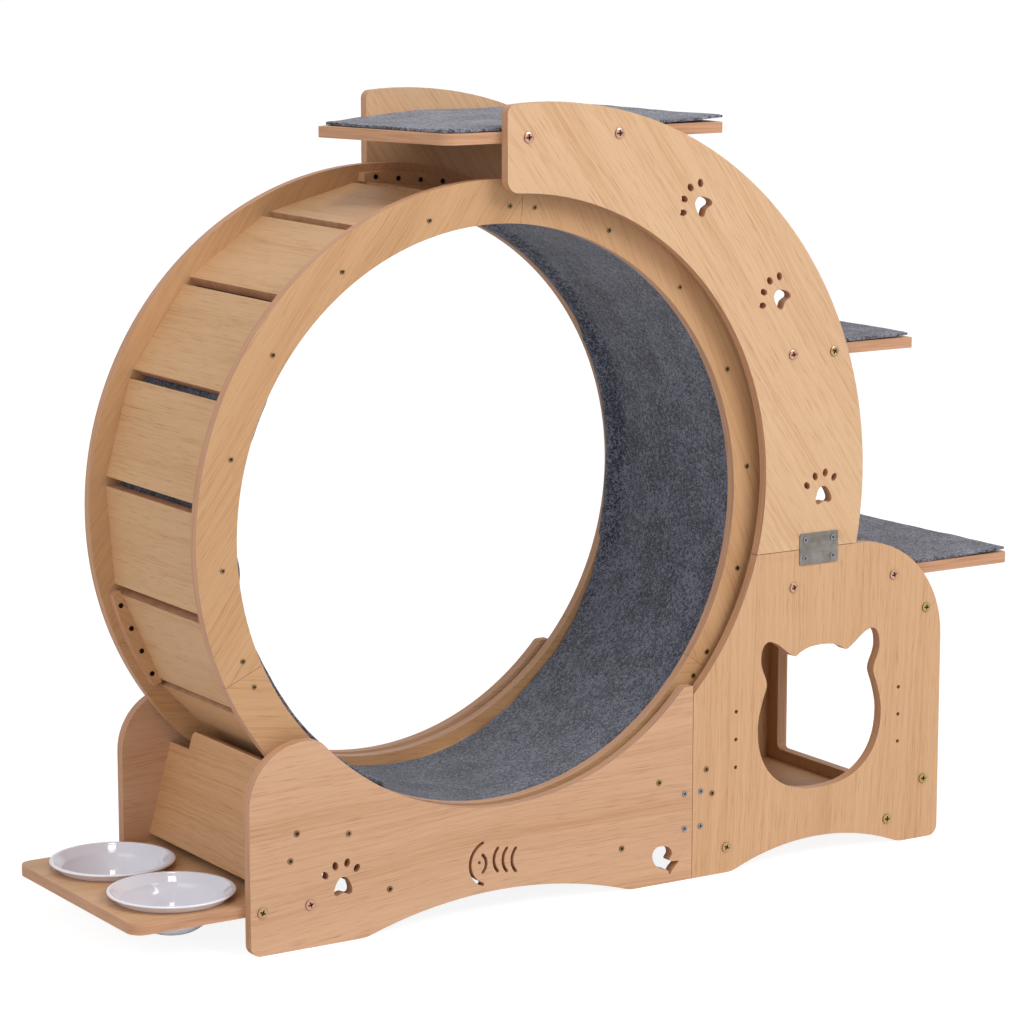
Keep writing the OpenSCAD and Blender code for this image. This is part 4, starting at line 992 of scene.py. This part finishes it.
# heads on points, each turned at random about its own axis
def scatterTree(name):
    tree = bpy.data.node_groups.new(name, "GeometryNodeTree")
    for socketName, kind in (
        ("Geometry", "NodeSocketGeometry"), ("Head", "NodeSocketObject"),
        ("Head Size", "NodeSocketFloat"), ("Seed", "NodeSocketInt"),
        ("Finish", "NodeSocketMaterial"),
    ):
        tree.interface.new_socket(socketName, in_out="INPUT", socket_type=kind)
    tree.interface.new_socket("Geometry", in_out="OUTPUT", socket_type="NodeSocketGeometry")
    source = addNode(tree, "NodeGroupInput")
    result = addNode(tree, "NodeGroupOutput")
    facing = addNode(
        tree, "GeometryNodeInputNamedAttribute", {"data_type": "FLOAT_VECTOR"}, {"Name": "facing"}
    )
    aim = addNode(
        tree, "FunctionNodeAlignRotationToVector", {"axis": "Z"},
        {"Vector": facing.outputs["Attribute"]},
    )
    turn = addNode(
        tree, "FunctionNodeRandomValue", {"data_type": "FLOAT"},
        {2: 0.0, 3: 1.57, "Seed": source.outputs["Seed"]},
    )
    spin = addNode(
        tree, "FunctionNodeAxisAngleToRotation", None, {"Axis": (0, 0, 1), "Angle": turn.outputs[1]}
    )
    rotation = addNode(
        tree, "FunctionNodeRotateRotation", {"rotation_space": "LOCAL"},
        {"Rotation": aim.outputs["Rotation"], "Rotate By": spin.outputs["Rotation"]},
    )
    head = addNode(
        tree, "GeometryNodeObjectInfo", None,
        {"Object": source.outputs["Head"], "As Instance": True},
    )
    placed = addNode(
        tree, "GeometryNodeInstanceOnPoints", None,
        {
            "Points": source.outputs["Geometry"], "Instance": head.outputs["Geometry"],
            "Rotation": rotation.outputs["Rotation"], "Scale": source.outputs["Head Size"],
        },
    )
    draw = addNode(
        tree, "FunctionNodeRandomValue", {"data_type": "FLOAT"},
        {2: 0.0, 3: 1.0, "Seed": source.outputs["Seed"]},
    )
    marked = addNode(
        tree, "GeometryNodeStoreNamedAttribute", {"data_type": "FLOAT", "domain": "INSTANCE"},
        {"Geometry": placed.outputs["Instances"], "Name": "batch", "Value": draw.outputs[1]},
    )
    real = addNode(
        tree, "GeometryNodeRealizeInstances", None, {"Geometry": marked.outputs["Geometry"]}
    )
    finished = addNode(
        tree, "GeometryNodeSetMaterial", None,
        {"Geometry": real.outputs["Geometry"], "Material": source.outputs["Finish"]},
    )
    tree.links.new(finished.outputs["Geometry"], result.inputs["Geometry"])
    return tree


# runs a node tree on points and keeps the result as a plain mesh
def bakedTree(name, points, attributes, tree, inputs, material):
    mesh = bpy.data.meshes.new(name)
    mesh.from_pydata([tuple(p) for p in points], [], [])
    for attributeName, values in attributes.items():
        attribute = mesh.attributes.new(attributeName, "FLOAT_VECTOR", "POINT")
        attribute.data.foreach_set("vector", [c for v in values for c in v])
    carrier = bpy.data.objects.new(name, mesh)
    scene.collection.objects.link(carrier)
    modifier = carrier.modifiers.new("scatter", "NODES")
    modifier.node_group = tree
    for item in tree.interface.items_tree:
        if item.in_out == "INPUT" and item.name in inputs:
            modifier[item.identifier] = inputs[item.name]
    graph = bpy.context.evaluated_depsgraph_get()
    result = bpy.data.meshes.new_from_object(carrier.evaluated_get(graph), depsgraph=graph)
    carrier.modifiers.remove(modifier)
    carrier.data = result
    carrier.data.materials.clear()
    carrier.data.materials.append(material)
    return carrier


# moves the tip of each shaft to the length of its own solid
def fitShafts(piece, places, spec):
    vertices = piece.data.vertices
    count = len(vertices) // len(places)
    for start in range(0, len(vertices), count):
        first = vertices[start].co.copy()
        place, side, length = min(places, key=lambda p: (p[0] - first).length)
        for v in vertices[start : start + count]:
            if side * (place.y - v.co.y) > spec["length"] / 2:
                v.co.y += side * (spec["length"] - length)


scatter = scatterTree("fastener heads")
for index, (nodeName, spec) in enumerate(fasteners.items()):
    places = headPlaces(nodeName, spec)
    head = makeHead(nodeName.replace("_", "-") + "-pattern", spec)
    piece = bakedTree(
        nodeName.replace("_", "-"),
        [p for p, side, length in places],
        {"facing": [(0.0, side, 0.0) for p, side, length in places]},
        scatter,
        {"Head": head, "Head Size": 1.0, "Seed": 11 + index, "Finish": spec["material"]},
        spec["material"],
    )
    bpy.data.objects.remove(head)
    fitShafts(piece, places, spec)
    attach(piece, spec["body"])
    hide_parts(nodeName)
    print(nodeName, len(places), "heads")

# Floor, lamps and world; powers are in watts.
studio = {
    "floorColour": "#F4F4F4",
    # the camera sees the floor mixed with this glow, which makes it white and keeps the shadow
    "floorGlow": 1.28, "glowShare": 0.70,
    # the room is brighter in front of the object and above it than behind it
    "worldLight": 0.61, "worldDark": 0.12,
    "roomAim": (-0.32, -0.56, 0.77), "roomFrom": -0.6, "roomTo": 0.9,
    "keyPower": 152, "keyPlace": (1.6, -3.6, 3.8), "keySize": 2.6,
    "fillPower": 46, "fillPlace": (-4.2, -2.0, 2.2), "fillSize": 3.0,
    "topPower": 10, "topPlace": (-0.83, -0.42, 3.1), "topSize": 0.45, "topAim": (-0.62, 0, 0),
}
floorMesh = meshObject(
    "floor", [(-30, -30, 0), (30, -30, 0), (30, 30, 0), (-30, 30, 0)], [(0, 1, 2, 3)], None,
    smooth=False,
)
floorMaterial, floorTree, floorOutput = newMaterial("pale studio floor")
paleFloor = addNode(
    floorTree, "ShaderNodeBsdfPrincipled", None,
    {"Base Color": linear(studio["floorColour"]), "Roughness": 0.9, "Specular IOR Level": 0.1},
)
bright = addNode(
    floorTree, "ShaderNodeEmission", None, {"Color": (1, 1, 1, 1), "Strength": studio["floorGlow"]}
)
seen = addNode(floorTree, "ShaderNodeLightPath")
share = addNode(
    floorTree, "ShaderNodeMath", {"operation": "MULTIPLY"},
    {0: seen.outputs["Is Camera Ray"], 1: studio["glowShare"]},
)
both = addNode(
    floorTree, "ShaderNodeMixShader", None,
    {"Fac": share.outputs["Value"], 1: paleFloor.outputs["BSDF"], 2: bright.outputs["Emission"]},
)
floorTree.links.new(both.outputs["Shader"], floorOutput.inputs["Surface"])
floorMesh.data.materials.append(floorMaterial)

world = bpy.data.worlds.new("studio")
scene.world = world
world.use_nodes = True
worldTree = world.node_tree
worldTree.nodes.clear()
path = addNode(worldTree, "ShaderNodeLightPath")
seenBits = addNode(
    worldTree, "ShaderNodeMath", {"operation": "MAXIMUM"},
    {0: path.outputs["Is Camera Ray"], 1: path.outputs["Is Glossy Ray"]},
)
seenBits = addNode(
    worldTree, "ShaderNodeMath", {"operation": "MAXIMUM"},
    {0: seenBits.outputs["Value"], 1: path.outputs["Is Transmission Ray"]},
)
skyPlace = addNode(worldTree, "ShaderNodeTexCoord").outputs["Generated"]
towards = addNode(
    worldTree, "ShaderNodeVectorMath", {"operation": "DOT_PRODUCT"},
    {0: skyPlace, 1: Vector(studio["roomAim"]).normalized()},
)
room = addNode(
    worldTree, "ShaderNodeMapRange", {"interpolation_type": "SMOOTHSTEP"},
    {
        "Value": towards.outputs["Value"], "From Min": studio["roomFrom"],
        "From Max": studio["roomTo"], "To Min": studio["worldDark"], "To Max": studio["worldLight"],
    },
)
strength = addNode(
    worldTree, "ShaderNodeMapRange", None,
    {"Value": seenBits.outputs["Value"], "To Min": room.outputs["Result"], "To Max": 1.0},
)
backdrop = addNode(
    worldTree, "ShaderNodeBackground", None,
    {"Color": (1, 1, 1, 1), "Strength": strength.outputs["Result"]},
)
addNode(worldTree, "ShaderNodeOutputWorld", None, {"Surface": backdrop.outputs["Background"]})


def areaLamp(name, power, place, size, aim=(0.0, 0, 0.6)):
    data = bpy.data.lights.new(name, "AREA")
    data.energy = power
    data.size = size
    lamp = bpy.data.objects.new(name, data)
    lamp.location = place
    lamp.rotation_euler = (Vector(aim) - Vector(place)).to_track_quat("-Z", "Y").to_euler()
    scene.collection.objects.link(lamp)


areaLamp("key", studio["keyPower"], studio["keyPlace"], studio["keySize"])
areaLamp("fill", studio["fillPower"], studio["fillPlace"], studio["fillSize"])
# a small soft box overhead, which draws the bright window near the far rim of each bowl
areaLamp("top", studio["topPower"], studio["topPlace"], studio["topSize"], studio["topAim"])
scene.view_settings.view_transform = "Standard"
print("studio lit")
